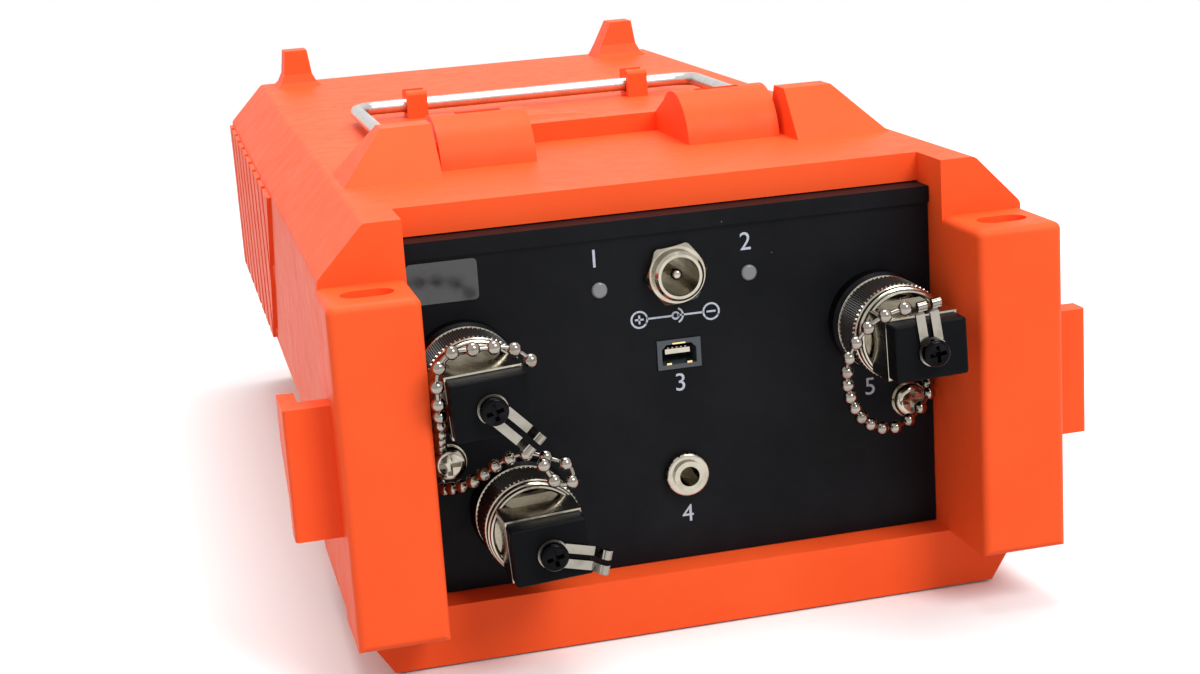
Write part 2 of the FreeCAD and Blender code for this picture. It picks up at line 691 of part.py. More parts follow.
def dc_nut():
    blank = hex_prism(JACK_X, DC_Z, DC_NUT_AF, PANEL_Y - DC_NUT_T, PANEL_Y)
    dome = rod(V(JACK_X, PANEL_Y - DC_NUT_T, DC_Z), Y, DC_NUT_AF * 0.56, DC_NUT_T)
    rim = [e for e in dome.Edges if abs(e.CenterOfMass.y - PANEL_Y + DC_NUT_T) < 0.01]
    dome = dome.makeChamfer(0.7, rim)
    bore = rod(V(JACK_X, PANEL_Y - 9, DC_Z), Y, DC_BARREL / 2, 12)
    return blank.common(dome).cut(bore)


def serial_jack():
    y0 = PANEL_Y - SERIAL_PROUD
    barrel = rod(V(JACK_X, y0, SERIAL_Z), Y, SERIAL_BARREL / 2,
                 SERIAL_PROUD + PANEL_T + SERIAL_TAIL)
    half = SERIAL_BARREL / 2 + 0.8
    block = box(JACK_X - half, JACK_X + half, panel_back(), panel_back() + SERIAL_TAIL,
                SERIAL_Z - half, SERIAL_Z + half)
    body = fuse([barrel, block])
    bore = rod(V(JACK_X, y0 - 1, SERIAL_Z), Y, SERIAL_BORE / 2,
               SERIAL_PROUD + PANEL_T + SERIAL_TAIL)
    return body.cut(bore)


def serial_nut():
    nut = tube_y(JACK_X, SERIAL_Z, SERIAL_NUT, SERIAL_BARREL,
                 PANEL_Y - SERIAL_NUT_T, PANEL_Y)
    rim = [
        e for e in nut.Edges
        if abs(e.CenterOfMass.y - PANEL_Y + SERIAL_NUT_T) < 0.01
        and e.BoundBox.XLength > SERIAL_NUT * 0.9
    ]
    nut = nut.makeFillet(0.6, rim)
    notches = []
    for i in range(16):
        angle = math.radians(i * 360 / 16)
        notches.append(rod(
            V(JACK_X + SERIAL_NUT / 2 * math.cos(angle), PANEL_Y - 5,
              SERIAL_Z + SERIAL_NUT / 2 * math.sin(angle)), Y, 0.25, 6))
    return cut(nut, notches)


def status_light(sign):
    place = light_place(sign)
    lens = rod(place - V(0, 0.5, 0), Y, LIGHT_D / 2, PANEL_T + 3)
    rim = [e for e in lens.Edges if abs(e.CenterOfMass.y - PANEL_Y + 0.5) < 0.01]
    return lens.makeFillet(0.45, rim)


# ---------------------------------------------------------------- ports
def ring_front():
    return PANEL_Y - PORT_BASE_T - RING_GAP - RING_L


def port_base(x, z):
    """Flange on the panel with the neck that the head and ring sit on."""
    flange = rod(V(x, PANEL_Y - PORT_BASE_T, z), Y, PORT_BASE_D / 2, PORT_BASE_T)
    rim = [e for e in flange.Edges if abs(e.CenterOfMass.y - PANEL_Y + PORT_BASE_T) < 0.01]
    flange = flange.makeChamfer(0.7, rim)
    neck = rod(V(x, neck_front(), z), Y, NECK_D / 2, optics_front() - neck_front())
    bore = rod(V(x, neck_front() - 1, z), Y, NECK_BORE / 2, 60)
    return fuse([flange, neck]).cut(bore)


def neck_front():
    return ring_front() + HEAD_SET_BACK + RING_WEB - RING_GAP


def coupling_ring(x, z):
    """Knurled ring that turns on the neck and clamps the head."""
    y0 = ring_front()
    y1 = y0 + RING_L
    body = rod(V(x, y0, z), Y, RING_D / 2, RING_L)
    ends = [e for e in body.Edges if e.BoundBox.YLength < 0.01]
    body = body.makeChamfer(0.8, ends)
    counterbore = rod(V(x, y0 - 1, z), Y, RING_BORE / 2, HEAD_SET_BACK + RING_WEB + 1)
    through = rod(V(x, y0 - 1, z), Y, NECK_D / 2 + NECK_FIT, RING_L + 2)
    body = cut(body, [counterbore, through])
    groove = tube_y(x, z, RING_D + 2, RING_D - 1.0, y0 + 2.2, y0 + 3.0)
    flutes = []
    for i in range(30):
        angle = math.radians(i * 12)
        flutes.append(rod(
            V(x + RING_D / 2 * math.cos(angle), y0 + 3.0, z + RING_D / 2 * math.sin(angle)),
            Y, 0.3, y1 - y0 - 4.0))
    return body.cut(groove).cut(Part.Compound(flutes))


def adapter_head(x, z):
    """Flanged head with two flats and the rectangular sleeve for the plug."""
    y0 = ring_front() + HEAD_SET_BACK
    y1 = neck_front()
    disc = rod(V(x, y0, z), Y, HEAD_D / 2, y1 - y0)
    flats = box(x - HEAD_D, x + HEAD_D, y0 - 1, y1 + 1, z - HEAD_FLAT / 2, z + HEAD_FLAT / 2)
    disc = disc.common(flats)
    w, h = SLEEVE_SIZE[0] / 2, SLEEVE_SIZE[1] / 2
    front = sleeve_front()
    sleeve = box(x - w, x + w, front, y0 + 0.5, z - h, z + h)
    rim = [e for e in sleeve.Edges if e.CenterOfMass.y < front + 0.01]
    sleeve = sleeve.makeChamfer(SLEEVE_RIM, rim)
    corners = tube_y(x, z, 3 * HEAD_D, HEAD_D, ring_front() - RING_GAP, y1)
    sleeve = sleeve.cut(corners)
    cw, ch = w - SLEEVE_WALL, h - SLEEVE_WALL
    cavity = box(x - cw, x + cw, front - 1, y0 + 0.6, z - ch, z + ch)
    tube = rod(V(x, y0 - 0.5, z), Y, 2.6, y1 - y0 + 1)
    ferrule_bore = rod(V(x, front - 5, z), Y, 1.27, 50)
    head = fuse([disc, sleeve]).cut(cavity)
    return fuse([head, tube]).cut(ferrule_bore)


def sleeve_front():
    return ring_front() + HEAD_SET_BACK - SLEEVE_PROUD


def dust_cap(x, z):
    """Rectangular cap whose plug fills the sleeve."""
    rear = sleeve_front()
    w, h = CAP_SIZE[0] / 2, CAP_SIZE[1] / 2
    block = box(x - w, x + w, rear - CAP_T, rear, z - h, z + h)
    edges = [e for e in block.Edges if e.CenterOfMass.y < rear - 0.01]
    block = block.makeFillet(0.5, edges)
    pw = SLEEVE_SIZE[0] / 2 - SLEEVE_WALL - CAP_FIT
    ph = SLEEVE_SIZE[1] / 2 - SLEEVE_WALL - CAP_FIT
    pw, ph = min(pw, w), min(ph, h)
    plug = box(x - pw, x + pw, rear - 0.5, rear + CAP_PLUG, z - ph, z + ph)
    hole = rod(V(x, rear - CAP_T - 1, z), Y, CAP_SCREW_D / 2, CAP_T + 3.5)
    return fuse([block, plug]).cut(hole)


def rolled(shape, x, z, angle):
    """The shape turned about a port's axis, anticlockwise as the panel is faced."""
    shape.rotate(V(x, 0, z), V(0, -1, 0), angle)
    return shape


def cap_face():
    return sleeve_front() - CAP_T


def cap_screw(x, z):
    seat = cap_face() - LINK_T - 2 * LINK_FIT
    head = rod(V(x, seat - CAP_SCREW_T, z), Y, CAP_SCREW_HEAD / 2, CAP_SCREW_T)
    rim = [e for e in head.Edges if abs(e.CenterOfMass.y - seat + CAP_SCREW_T) < 0.01]
    head = head.makeFillet(0.6, rim)
    shank = rod(V(x, seat - 0.3, z), Y, CAP_SCREW_D / 2, CAP_T + LINK_T + 2.4)
    recess = phillips(x, z, seat - CAP_SCREW_T, CAP_SCREW_HEAD * 0.62, 1.2)
    return fuse([head, shank]).cut(recess)


def cap_link(x, z, heading):
    """Pressed strip: an eye under the screw and two prongs that grip the chain."""
    rear = cap_face() - LINK_FIT
    front = rear - LINK_T
    eye = rod(V(x, front, z), Y, LINK_EYE / 2, LINK_T)
    hole = rod(V(x, front - 1, z), Y, CAP_SCREW_D / 2 + LINK_FIT, LINK_T + 2)
    prongs = []
    for sign in (-1, 1):
        inner = LINK_SPREAD * sign - LINK_PRONG / 2
        outer = LINK_SPREAD * sign + LINK_PRONG / 2
        neck_x = LINK_EYE / 2 - 0.8
        bend_x = LINK_REACH - 2.6
        profile = [
            V(x + neck_x, front, z), V(x + bend_x, front, z),
            V(x + bend_x + 1.0, front - LINK_LIFT, z), V(x + LINK_REACH, front - LINK_LIFT, z),
            V(x + LINK_REACH, front - LINK_LIFT + LINK_T, z),
            V(x + bend_x + 1.2, front - LINK_LIFT + LINK_T, z),
            V(x + bend_x + 0.2, rear, z), V(x + neck_x, rear, z),
        ]
        prong = prism([p + V(0, 0, inner) for p in profile], V(0, 0, outer - inner))
        curl = rod(V(x + LINK_REACH - LINK_CURL, front - LINK_LIFT + LINK_T / 2, z + inner),
                   Z, LINK_CURL, outer - inner)
        prongs += [prong, curl]
    link = fuse([eye] + prongs).cut(hole)
    link.rotate(V(x, 0, z), V(0, -1, 0), heading)
    return link


# ---------------------------------------------------------------- chain fixings
def fixing_stack(sign):
    return 2 if sign < 0 else 1


def fixing_screw(sign):
    x = sign * FIXING_X
    seat = PANEL_Y - EYELET_T * fixing_stack(sign)
    head = rod(V(x, seat - FIXING_HEAD_T, FIXING_Z), Y, FIXING_HEAD / 2, FIXING_HEAD_T)
    rim = [e for e in head.Edges if abs(e.CenterOfMass.y - seat + FIXING_HEAD_T) < 0.01]
    head = head.makeFillet(FIXING_HEAD_T * 0.6, rim)
    shank = rod(V(x, seat - 0.5, FIXING_Z), Y, FIXING_D / 2, FIXING_L)
    recess = phillips(x, FIXING_Z, seat - FIXING_HEAD_T, FIXING_HEAD * 0.62, 1.3)
    return fuse([head, shank]).cut(recess)


def tab_place(sign, layer, heading):
    """Middle of the front face of an eyelet's tab."""
    angle = math.radians(heading)
    return V(sign * FIXING_X + EYELET_REACH * math.cos(angle),
             PANEL_Y - EYELET_T * (layer + 1),
             FIXING_Z + EYELET_REACH * math.sin(angle))


def eyelet(sign, layer, heading):
    """Washer with a tab that carries the last bead of a chain."""
    place = tab_place(sign, layer, heading)
    centre = V(sign * FIXING_X, place.y, FIXING_Z)
    ring = rod(centre, Y, EYELET_D / 2, EYELET_T)
    tab = rod(place, Y, EYELET_TAB / 2, EYELET_T)
    hole = rod(centre - V(0, 1, 0), Y, FIXING_D / 2, EYELET_T + 2)
    return fuse([ring, tab]).cut(hole)


def chain_tabs():
    """Side, layer and heading of the eyelets: right, loop and free chain."""
    return (1, 0, RIGHT_TAB), (-1, 0, LOOP_TAB), (-1, 1, FREE_TAB)


def landed(route, tab):
    """The route with a short straight run square onto an eyelet's tab."""
    place = tab_place(*tab)
    return list(route) + [place - V(0, LANDING, 0), place]


# ---------------------------------------------------------------- screen side
def overlay_front():
    return OVERLAY_RECESS


def key_top():
    return OVERLAY_RECESS - KEY_PROUD


def key_places():
    """Name, x, y, width and depth of every key."""
    keys = []
    for i in range(4):
        x = (i - 1.5) * SOFT_KEY_PITCH
        keys.append(("soft_key_%d" % (i + 1), x, SOFT_KEY_Y, SOFT_KEY[0], SOFT_KEY[1]))
    wide, deep = NAV_KEY
    keys.append(("nav_key_up", 0, NAV_Y - NAV_REACH, wide, deep))
    keys.append(("nav_key_down", 0, NAV_Y + NAV_REACH, wide, deep))
    keys.append(("nav_key_left", -NAV_REACH, NAV_Y, deep, wide))
    keys.append(("nav_key_right", NAV_REACH, NAV_Y, deep, wide))
    keys.append(("enter_key", 0, NAV_Y, ENTER_KEY_D, ENTER_KEY_D))
    keys.append(("escape_key", -SIDE_KEY_X, LOW_KEY_Y, SIDE_KEY[0], SIDE_KEY[1]))
    keys.append(("test_key", SIDE_KEY_X, LOW_KEY_Y, SIDE_KEY[0], SIDE_KEY[1]))
    keys.append(("power_key", 0, LOW_KEY_Y, POWER_KEY_D, POWER_KEY_D))
    return keys


def front_overlay():
    y0, y1 = OVERLAY_Y
    half = OVERLAY_HALF_W - OVERLAY_FIT
    plate = rounded_box(-half, half, y0 + OVERLAY_FIT, y1 - OVERLAY_FIT,
                        overlay_front(), WALL, 6.0 - OVERLAY_FIT)
    window = rounded_box(-WINDOW_HALF_W, WINDOW_HALF_W, WINDOW_Y[0], WINDOW_Y[1],
                         -1, WALL + 1, 2.0)
    holes = [window]
    for _, x, y, wide, deep in key_places():
        holes.append(stadium(x, y, wide + 2 * KEY_FIT, deep + 2 * KEY_FIT, -1, WALL + 2))
    return plate.cut(Part.Compound(holes))


def display_lens():
    half = WINDOW_HALF_W - LENS_FIT
    return rounded_box(-half, half, WINDOW_Y[0] + LENS_FIT, WINDOW_Y[1] - LENS_FIT,
                       overlay_front() + 0.1, WALL, 2.0 - LENS_FIT)


def mat_bottom():
    return WALL + KEY_FLANGE_T + KEY_TRAVEL + KEY_CLEARANCE


def board_bottom():
    return mat_bottom() + MAT_T


def lcd_module():
    half = WINDOW_HALF_W + 2.5
    return box(-half, half, WINDOW_Y[0] - 3.5, WINDOW_Y[1] + 3.5, WALL, board_bottom())


def keypad_mat():
    """Rubber mat between the keys and the board, with a dome under each key."""
    half = OVERLAY_HALF_W - 3
    y0, y1 = WINDOW_Y[1] + 4.5, OVERLAY_Y[1] - 4
    mat = box(-half, half, y0, y1, mat_bottom(), board_bottom())
    studs = []
    for x in (-half + 2.5, half - 2.5):
        for y in (y0 + 2.5, y1 - 2.5):
            studs.append(rod(V(x, y, WALL), Z, 2.0, mat_bottom() - WALL + 0.2))
    return fuse([mat] + studs)


def main_board():
    z0 = board_bottom()
    board = box(-OVERLAY_HALF_W + 1, OVERLAY_HALF_W - 1, OVERLAY_Y[0] + 1,
                OVERLAY_Y[1] - 2, z0, z0 + BOARD_T)
    chips = []
    for x, y, size in ((-20, NAV_Y - 26, 14), (12, NAV_Y - 20, 20),
                       (-14, NAV_Y + 10, 17), (18, NAV_Y + 22, 10)):
        chips.append(box(x, x + size, y, y + size, z0 + BOARD_T - 0.2, z0 + BOARD_T + 2))
    return fuse([board] + chips)


def key(x, y, wide, deep):
    cap = stadium(x, y, wide, deep, key_top(), WALL - key_top() + 0.1)
    crest = [e for e in cap.Edges if e.CenterOfMass.z < key_top() + 0.01]
    cap = cap.makeFillet(0.4, crest)
    flange = stadium(x, y, wide + 2 * KEY_FLANGE, deep + 2 * KEY_FLANGE,
                     WALL, KEY_FLANGE_T)
    return fuse([cap, flange])


def optics_front():
    return CAVITY_Y + OPTICS_GAP


def optical_module():
    y0 = optics_front()
    z0 = board_bottom() + BOARD_T
    return box(-OPTICS_HALF_W, OPTICS_HALF_W, y0, y0 + OPTICS_L, z0, OPTICS_TOP)


def battery_pack():
    wide, high = BATTERY_SECTION
    y0 = optics_front() + OPTICS_L + BATTERY_GAP
    y1 = LENGTH - WALL - BATTERY_REAR_GAP
    z1 = HEIGHT - WALL
    pack = box(-wide / 2, wide / 2, y0, y1, z1 - high, z1)
    long_edges = [
        e for e in pack.Edges
        if e.BoundBox.YLength > (y1 - y0) * 0.9 and e.CenterOfMass.z < z1 - 1
    ]
    return pack.makeFillet(4.0, long_edges)


# ---------------------------------------------------------------- assembly
def build_parts():
    housing = whole_housing()
    right_tab, loop_tab, free_tab = chain_tabs()
    parts = {
        "back_shell": back_shell(housing),
        "front_shell": front_shell(housing),
        "case_screws": [case_screw(x, y) for x, y in screw_places()],
        "bail_stand": bail_stand(),
        "connector_panel": connector_panel(),
        "usb_socket": usb_socket(),
        "usb_contacts": usb_contacts(),
        "dc_jack": dc_jack(),
        "dc_jack_pin": dc_pin(),
        "dc_jack_nut": dc_nut(),
        "serial_jack": serial_jack(),
        "serial_jack_nut": serial_nut(),
        "charge_light": status_light(-1),
        "power_light": status_light(1),
        "chain_screws": [fixing_screw(-1), fixing_screw(1)],
        "chain_eyelets": [eyelet(*tab) for tab in chain_tabs()],
        "chain_right": bead_chain(landed(CHAIN_RIGHT, right_tab)),
        "chain_free": bead_chain(landed(CHAIN_FREE, free_tab)),
        "chain_loop": bead_chain(landed(CHAIN_LOOP, loop_tab)),
        "front_overlay": front_overlay(),
        "display_lens": display_lens(),
        "lcd_module": lcd_module(),
        "keypad_mat": keypad_mat(),
        "main_board": main_board(),
        "optical_module": optical_module(),
        "battery_pack": battery_pack(),
    }
    for name, x, z, heading, roll in PORTS:
        parts["port_base_" + name] = port_base(x, z)
        parts["coupling_ring_" + name] = coupling_ring(x, z)
        parts["adapter_head_" + name] = rolled(adapter_head(x, z), x, z, roll)
        parts["dust_cap_" + name] = rolled(dust_cap(x, z), x, z, roll)
        parts["cap_screw_" + name] = rolled(cap_screw(x, z), x, z, 4 * roll)
        parts["cap_link_" + name] = cap_link(x, z, heading)
    for name, x, y, wide, deep in key_places():
        parts[name] = key(x, y, wide, deep)
    return parts


def middle_y():
    """Half way between the link tips in front and the rear wall."""
    front = cap_face() - LINK_FIT - LINK_T - LINK_LIFT
    return (front + LENGTH) / 2


def export(parts):
    os.makedirs("parts", exist_ok=True)
    shift = V(0, -middle_y(), 0)
    for name, shape in parts.items():
        if isinstance(shape, list):
            shape = Part.Compound(shape)
        shape = shape.copy()
        shape.translate(shift)
        shape.exportStep("parts/%s.step" % name)
        print("%-26s solids %d  valid %s  volume %.1f" % (
            name, len(shape.Solids), shape.isValid(), shape.Volume))


export(build_parts())
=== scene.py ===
import logging
import math
from dataclasses import dataclass
from enum import Enum

import bmesh
import bpy
from bmesh.types import BMesh
from bpy.types import NodeSocket as Socket, Object as Piece
from mathutils import Matrix, Vector


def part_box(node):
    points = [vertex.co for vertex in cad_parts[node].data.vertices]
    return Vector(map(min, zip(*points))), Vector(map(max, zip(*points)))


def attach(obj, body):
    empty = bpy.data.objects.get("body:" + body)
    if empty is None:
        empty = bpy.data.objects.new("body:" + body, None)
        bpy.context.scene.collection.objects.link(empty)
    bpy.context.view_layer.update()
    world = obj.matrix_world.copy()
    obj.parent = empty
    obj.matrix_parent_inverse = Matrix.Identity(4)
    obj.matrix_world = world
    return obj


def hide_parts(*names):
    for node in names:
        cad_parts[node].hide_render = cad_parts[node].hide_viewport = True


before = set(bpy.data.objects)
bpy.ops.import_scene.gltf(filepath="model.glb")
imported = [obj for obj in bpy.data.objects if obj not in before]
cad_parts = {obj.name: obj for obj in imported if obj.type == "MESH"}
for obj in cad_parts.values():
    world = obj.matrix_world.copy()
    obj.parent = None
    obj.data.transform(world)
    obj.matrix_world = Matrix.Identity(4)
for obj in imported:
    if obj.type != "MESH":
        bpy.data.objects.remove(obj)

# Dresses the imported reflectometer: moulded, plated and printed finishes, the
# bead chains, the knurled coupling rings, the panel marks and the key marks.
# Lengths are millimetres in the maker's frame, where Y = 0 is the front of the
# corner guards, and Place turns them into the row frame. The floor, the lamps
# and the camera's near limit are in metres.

MM = 0.001
HOUSING_LENGTH = 234.0
PANEL_FACE = 22.2
HOUSING_BODY = "housing"
WELD_DISTANCE = 1e-7  # m
RGB = tuple[float, float, float]
Point = tuple[float, float, float]
Pair = tuple[float, float]
log = logging.getLogger("reflectometer")


class Slot(Enum):
    """Material slots of the record."""

    NICKEL = "nickel"
    PRINT = "light_lens"
    FILM = "overlay"


@dataclass(frozen=True)
class Place:
    """Turns maker's millimetres into the row frame."""

    middle: float

    @classmethod
    def from_frame(cls) -> "Place":
        """Read the middle of the length from the rear wall of the back shell."""
        return cls(HOUSING_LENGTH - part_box("back_shell")[1][1] / MM)

    def point(self, x: float, y: float, z: float) -> Vector:
        """Return one point in the row frame.

        Args:
            x: across the panel, mm.
            y: from the guards to the rear, mm.
            z: up from the screen face, mm.

        Returns:
            The point in metres.
        """
        return Vector((x, y - self.middle, z)) * MM

    def matrix(self, x: float, y: float, z: float) -> Matrix:
        """Return the transform that carries local millimetres to a place."""
        return Matrix.Translation(self.point(x, y, z)) @ Matrix.Scale(MM, 4)


# ---- finishes
# Noise values between which a second colour fades in, and the gloss changes.
FADE = (0.35, 0.70)
GLOSS_SPAN = (0.30, 0.70)
# Share of a speck's radius that has its full colour.
SPECK_CORE = 0.6


class Octaves(Enum):
    """Number of finer layers in a noise, and the weight of the finer ones."""

    SMOOTH = (2.0, 0.5)
    GRAIN = (2.0, 0.6)
    FLOW = (3.0, 0.5)
    STAIN = (3.0, 0.6)
    CLOUD = (4.0, 0.6)
    STREAK = (4.0, 0.7)
    GLOSS = (5.0, 0.7)


class Graph:
    """The nodes of one material, laid out from Object coordinates."""

    def __init__(self, name: str) -> None:
        """Start a material whose principled shader is ready to be set."""
        self.material = bpy.data.materials.new(name)
        self.material.use_nodes = True
        self.tree = self.material.node_tree
        self.shader = self.tree.nodes["Principled BSDF"]
        self.coords = self.add("ShaderNodeTexCoord").outputs["Object"]

    def add(self, kind: str) -> bpy.types.Node:
        """Add one node of a kind."""
        return self.tree.nodes.new(kind)

    def link(self, source: Socket, target: Socket) -> None:
        """Join two sockets."""
        self.tree.links.new(source, target)

    def place(self, stretch: Point, turn: Point = (0.0, 0.0, 0.0)) -> Socket:
        """Return coordinates squeezed along each axis, so that a pattern runs lengthwise.

        Args:
            stretch: scale of the coordinates along X, Y and Z.
            turn: rotation in degrees.

        Returns:
            The mapped coordinates.
        """
        node = self.add("ShaderNodeMapping")
        node.inputs["Scale"].default_value = stretch
        node.inputs["Rotation"].default_value = [math.radians(a) for a in turn]
        self.link(self.coords, node.inputs["Vector"])
        return node.outputs["Vector"]

    def noise(self, size: float, octaves: Octaves = Octaves.SMOOTH,
              vector: Socket | None = None) -> Socket:
        """Return a noise value.

        Args:
            size: width of one blotch, mm.
            octaves: how the finer layers are added.
            vector: coordinates, or None for plain Object coordinates.

        Returns:
            The noise factor, 0 to 1 about 0.5.
        """
        node = self.add("ShaderNodeTexNoise")
        detail, weight = octaves.value
        node.inputs["Scale"].default_value = 1.0 / (size * MM)
        node.inputs["Detail"].default_value = detail
        node.inputs["Roughness"].default_value = weight
        self.link(vector or self.coords, node.inputs["Vector"])
        return node.outputs["Fac"]

    def specks(self, size: float, radius: float) -> Socket:
        """Return 1 inside sparse round specks and 0 elsewhere.

        Args:
            size: mean distance between specks, mm.
            radius: radius of a speck as a share of that distance.

        Returns:
            The factor.
        """
        node = self.add("ShaderNodeTexVoronoi")
        node.inputs["Scale"].default_value = 1.0 / (size * MM)
        self.link(self.coords, node.inputs["Vector"])
        return self.span(node.outputs["Distance"], radius, radius * SPECK_CORE)

    def span(self, value: Socket, low: float, high: float,
             out_low: float = 0.0, out_high: float = 1.0) -> Socket:
        """Map a value from one range onto another, held at both ends."""
        node = self.add("ShaderNodeMapRange")
        for key, number in (("From Min", low), ("From Max", high),
                            ("To Min", out_low), ("To Max", out_high)):
            node.inputs[key].default_value = number
        self.link(value, node.inputs["Value"])
        return node.outputs["Result"]

    def blend(self, factor: Socket, first: RGB, second: RGB,
              under: Socket | None = None) -> Socket:
        """Mix two colours, or lay the second over a colour that is already made."""
        node = self.add("ShaderNodeMix")
        node.data_type = "RGBA"
        colours = [s for s in node.inputs if s.type == "RGBA"]
        for socket, colour in zip(colours, (first, second)):
            socket.default_value = (*colour, 1.0)
        if under is not None:
            self.link(under, colours[0])
        factors = [s for s in node.inputs if s.type == "VALUE" and s.enabled]
        self.link(factor, factors[0])
        return [s for s in node.outputs if s.type == "RGBA"][0]

    def bump(self, height: Socket, depth: float, strength: float,
             after: Socket | None = None) -> Socket:
        """Return normals roughened by a height.

        Args:
            height: the height factor, 0 to 1.
            depth: height of 1 in mm.
            strength: how much of it shows.
            after: normals from an earlier bump.

        Returns:
            The bumped normal.
        """
        node = self.add("ShaderNodeBump")
        node.inputs["Distance"].default_value = depth * MM
        node.inputs["Strength"].default_value = strength
        self.link(height, node.inputs["Height"])
        if after is not None:
            self.link(after, node.inputs["Normal"])
        return node.outputs["Normal"]

    def set(self, **values: float) -> None:
        """Set plain numbers on the shader's own sockets, underscores for spaces."""
        for key, number in values.items():
            self.shader.inputs[key.replace("_", " ")].default_value = number

    def feed(self, **sockets: Socket) -> None:
        """Join sockets to the shader, underscores for spaces."""
        for key, socket in sockets.items():
            self.link(socket, self.shader.inputs[key.replace("_", " ")])


@dataclass(frozen=True)
class Finish:
    """A finish that is built once and then shared by every piece."""

    name: str

    def build(self) -> bpy.types.Material:
        """Return the material, building it on first use."""
        found = bpy.data.materials.get(self.name)
        if found is not None:
            return found
        graph = Graph(self.name)
        self.lay(graph)
        return graph.material

    def lay(self, graph: Graph) -> None:
        """Lay out the nodes of this finish."""
        raise NotImplementedError


@dataclass(frozen=True)
class Moulded(Finish):
    """Plastic or rubber from a textured mould, with handling marks."""

    colour: RGB = (0.5, 0.5, 0.5)
    rubbed: RGB = (0.6, 0.6, 0.6)
    grain: float = 0.35
    depth: float = 0.012
    rough: Pair = (0.42, 0.58)
    specular: float = 0.5
    cloud_size: float = 26.0
    gloss_size: float = 5.0
    flow_size: float = 9.0
    flow_stretch: Point = (1.0, 0.25, 1.0)
    flow_depth: float = 0.05
    grain_strength: float = 0.55
    flow_strength: float = 0.25

    def lay(self, graph: Graph) -> None:
        """Blotchy colour, fine spark grain and uneven gloss."""
        cloud = graph.noise(self.cloud_size, Octaves.CLOUD)
        gloss = graph.noise(self.gloss_size, Octaves.GLOSS)
        fine = graph.noise(self.grain, Octaves.GRAIN)
        flow = graph.noise(self.flow_size, Octaves.FLOW, graph.place(self.flow_stretch))
        normal = graph.bump(fine, self.depth, self.grain_strength)
        graph.feed(
            Base_Color=graph.blend(graph.span(cloud, *FADE), self.colour, self.rubbed),
            Roughness=graph.span(gloss, *GLOSS_SPAN, *self.rough),
            Normal=graph.bump(flow, self.flow_depth, self.flow_strength, normal),
        )
        graph.set(Specular_IOR_Level=self.specular)


@dataclass(frozen=True)
class Plated(Finish):
    """Nickel or chrome plate over turned or pressed metal."""

    colour: RGB = (0.7, 0.67, 0.6)
    stain: RGB = (0.5, 0.46, 0.38)
    rough: Pair = (0.12, 0.28)
    scratch: Point = (1.0, 1.0, 0.12)
    scratch_width: float = 0.25
    depth: float = 0.004
    stain_size: float = 3.5
    stain_fade: Pair = (0.45, 0.75)
    stain_most: float = 0.8
    gloss_size: float = 1.4
    mark_strength: float = 0.35

    def lay(self, graph: Graph) -> None:
        """Warm plate with faint stains and fine tool marks."""
        graph.set(Metallic=1.0)
        cloud = graph.noise(self.stain_size, Octaves.STAIN)
        stained = graph.span(cloud, *self.stain_fade, 0.0, self.stain_most)
        gloss = graph.noise(self.gloss_size, Octaves.STREAK)
        marks = graph.noise(self.scratch_width, Octaves.SMOOTH, graph.place(self.scratch))
        graph.feed(
            Base_Color=graph.blend(stained, self.colour, self.stain),
            Roughness=graph.span(gloss, *GLOSS_SPAN, *self.rough),
            Normal=graph.bump(marks, self.depth, self.mark_strength),
        )


@dataclass(frozen=True)
class PaintedPanel(Finish):
    """Black textured paint with a little lint and a few pale specks."""

    colour: RGB = (0.0032, 0.0036, 0.0048)
    worn: RGB = (0.0062, 0.0067, 0.0085)
    dust: RGB = (0.22, 0.22, 0.21)
    rough: Pair = (0.40, 0.52)
    specular: float = 0.09
    cloud_size: float = 14.0
    gloss_size: float = 3.0
    grain: float = 0.28
    depth: float = 0.012
    grain_strength: float = 0.5
    dust_apart: float = 7.0
    dust_radius: float = 0.016

    def lay(self, graph: Graph) -> None:
        """Fine orange-peel texture with sparse dust."""
        cloud = graph.noise(self.cloud_size, Octaves.CLOUD)
        worn = graph.blend(graph.span(cloud, *FADE), self.colour, self.worn)
        dusty = graph.specks(self.dust_apart, self.dust_radius)
        gloss = graph.noise(self.gloss_size, Octaves.GLOSS)
        fine = graph.noise(self.grain, Octaves.GRAIN)
        graph.feed(
            Base_Color=graph.blend(dusty, self.colour, self.dust, under=worn),
            Roughness=graph.span(gloss, *GLOSS_SPAN, *self.rough),
            Normal=graph.bump(fine, self.depth, self.grain_strength),
        )
        graph.set(Specular_IOR_Level=self.specular)


@dataclass(frozen=True)
class Glossy(Finish):
    """Glass, film or lens with fine wipe marks under a clear coat."""

    colour: RGB = (0.02, 0.02, 0.02)
    second: RGB = (0.03, 0.03, 0.03)
    rough: Pair = (0.05, 0.16)
    coat: float = 0.0
    coat_rough: float = 0.08
    cloud_size: float = 8.0
    streak_size: float = 1.6
    streak_stretch: Point = (1.0, 0.2, 1.0)
    streak_turn: Point = (0.0, 0.0, 24.0)
    depth: float = 0.01
    wave_strength: float = 0.2

    def lay(self, graph: Graph) -> None:
        """Even colour with streaky gloss."""
        wiped = graph.place(self.streak_stretch, self.streak_turn)
        streak = graph.noise(self.streak_size, Octaves.STREAK, wiped)
        cloud = graph.noise(self.cloud_size)
        graph.feed(
            Base_Color=graph.blend(cloud, self.colour, self.second),
            Roughness=graph.span(streak, *FADE, *self.rough),
            Normal=graph.bump(cloud, self.depth, self.wave_strength),
        )
        graph.set(Coat_Weight=self.coat, Coat_Roughness=self.coat_rough)


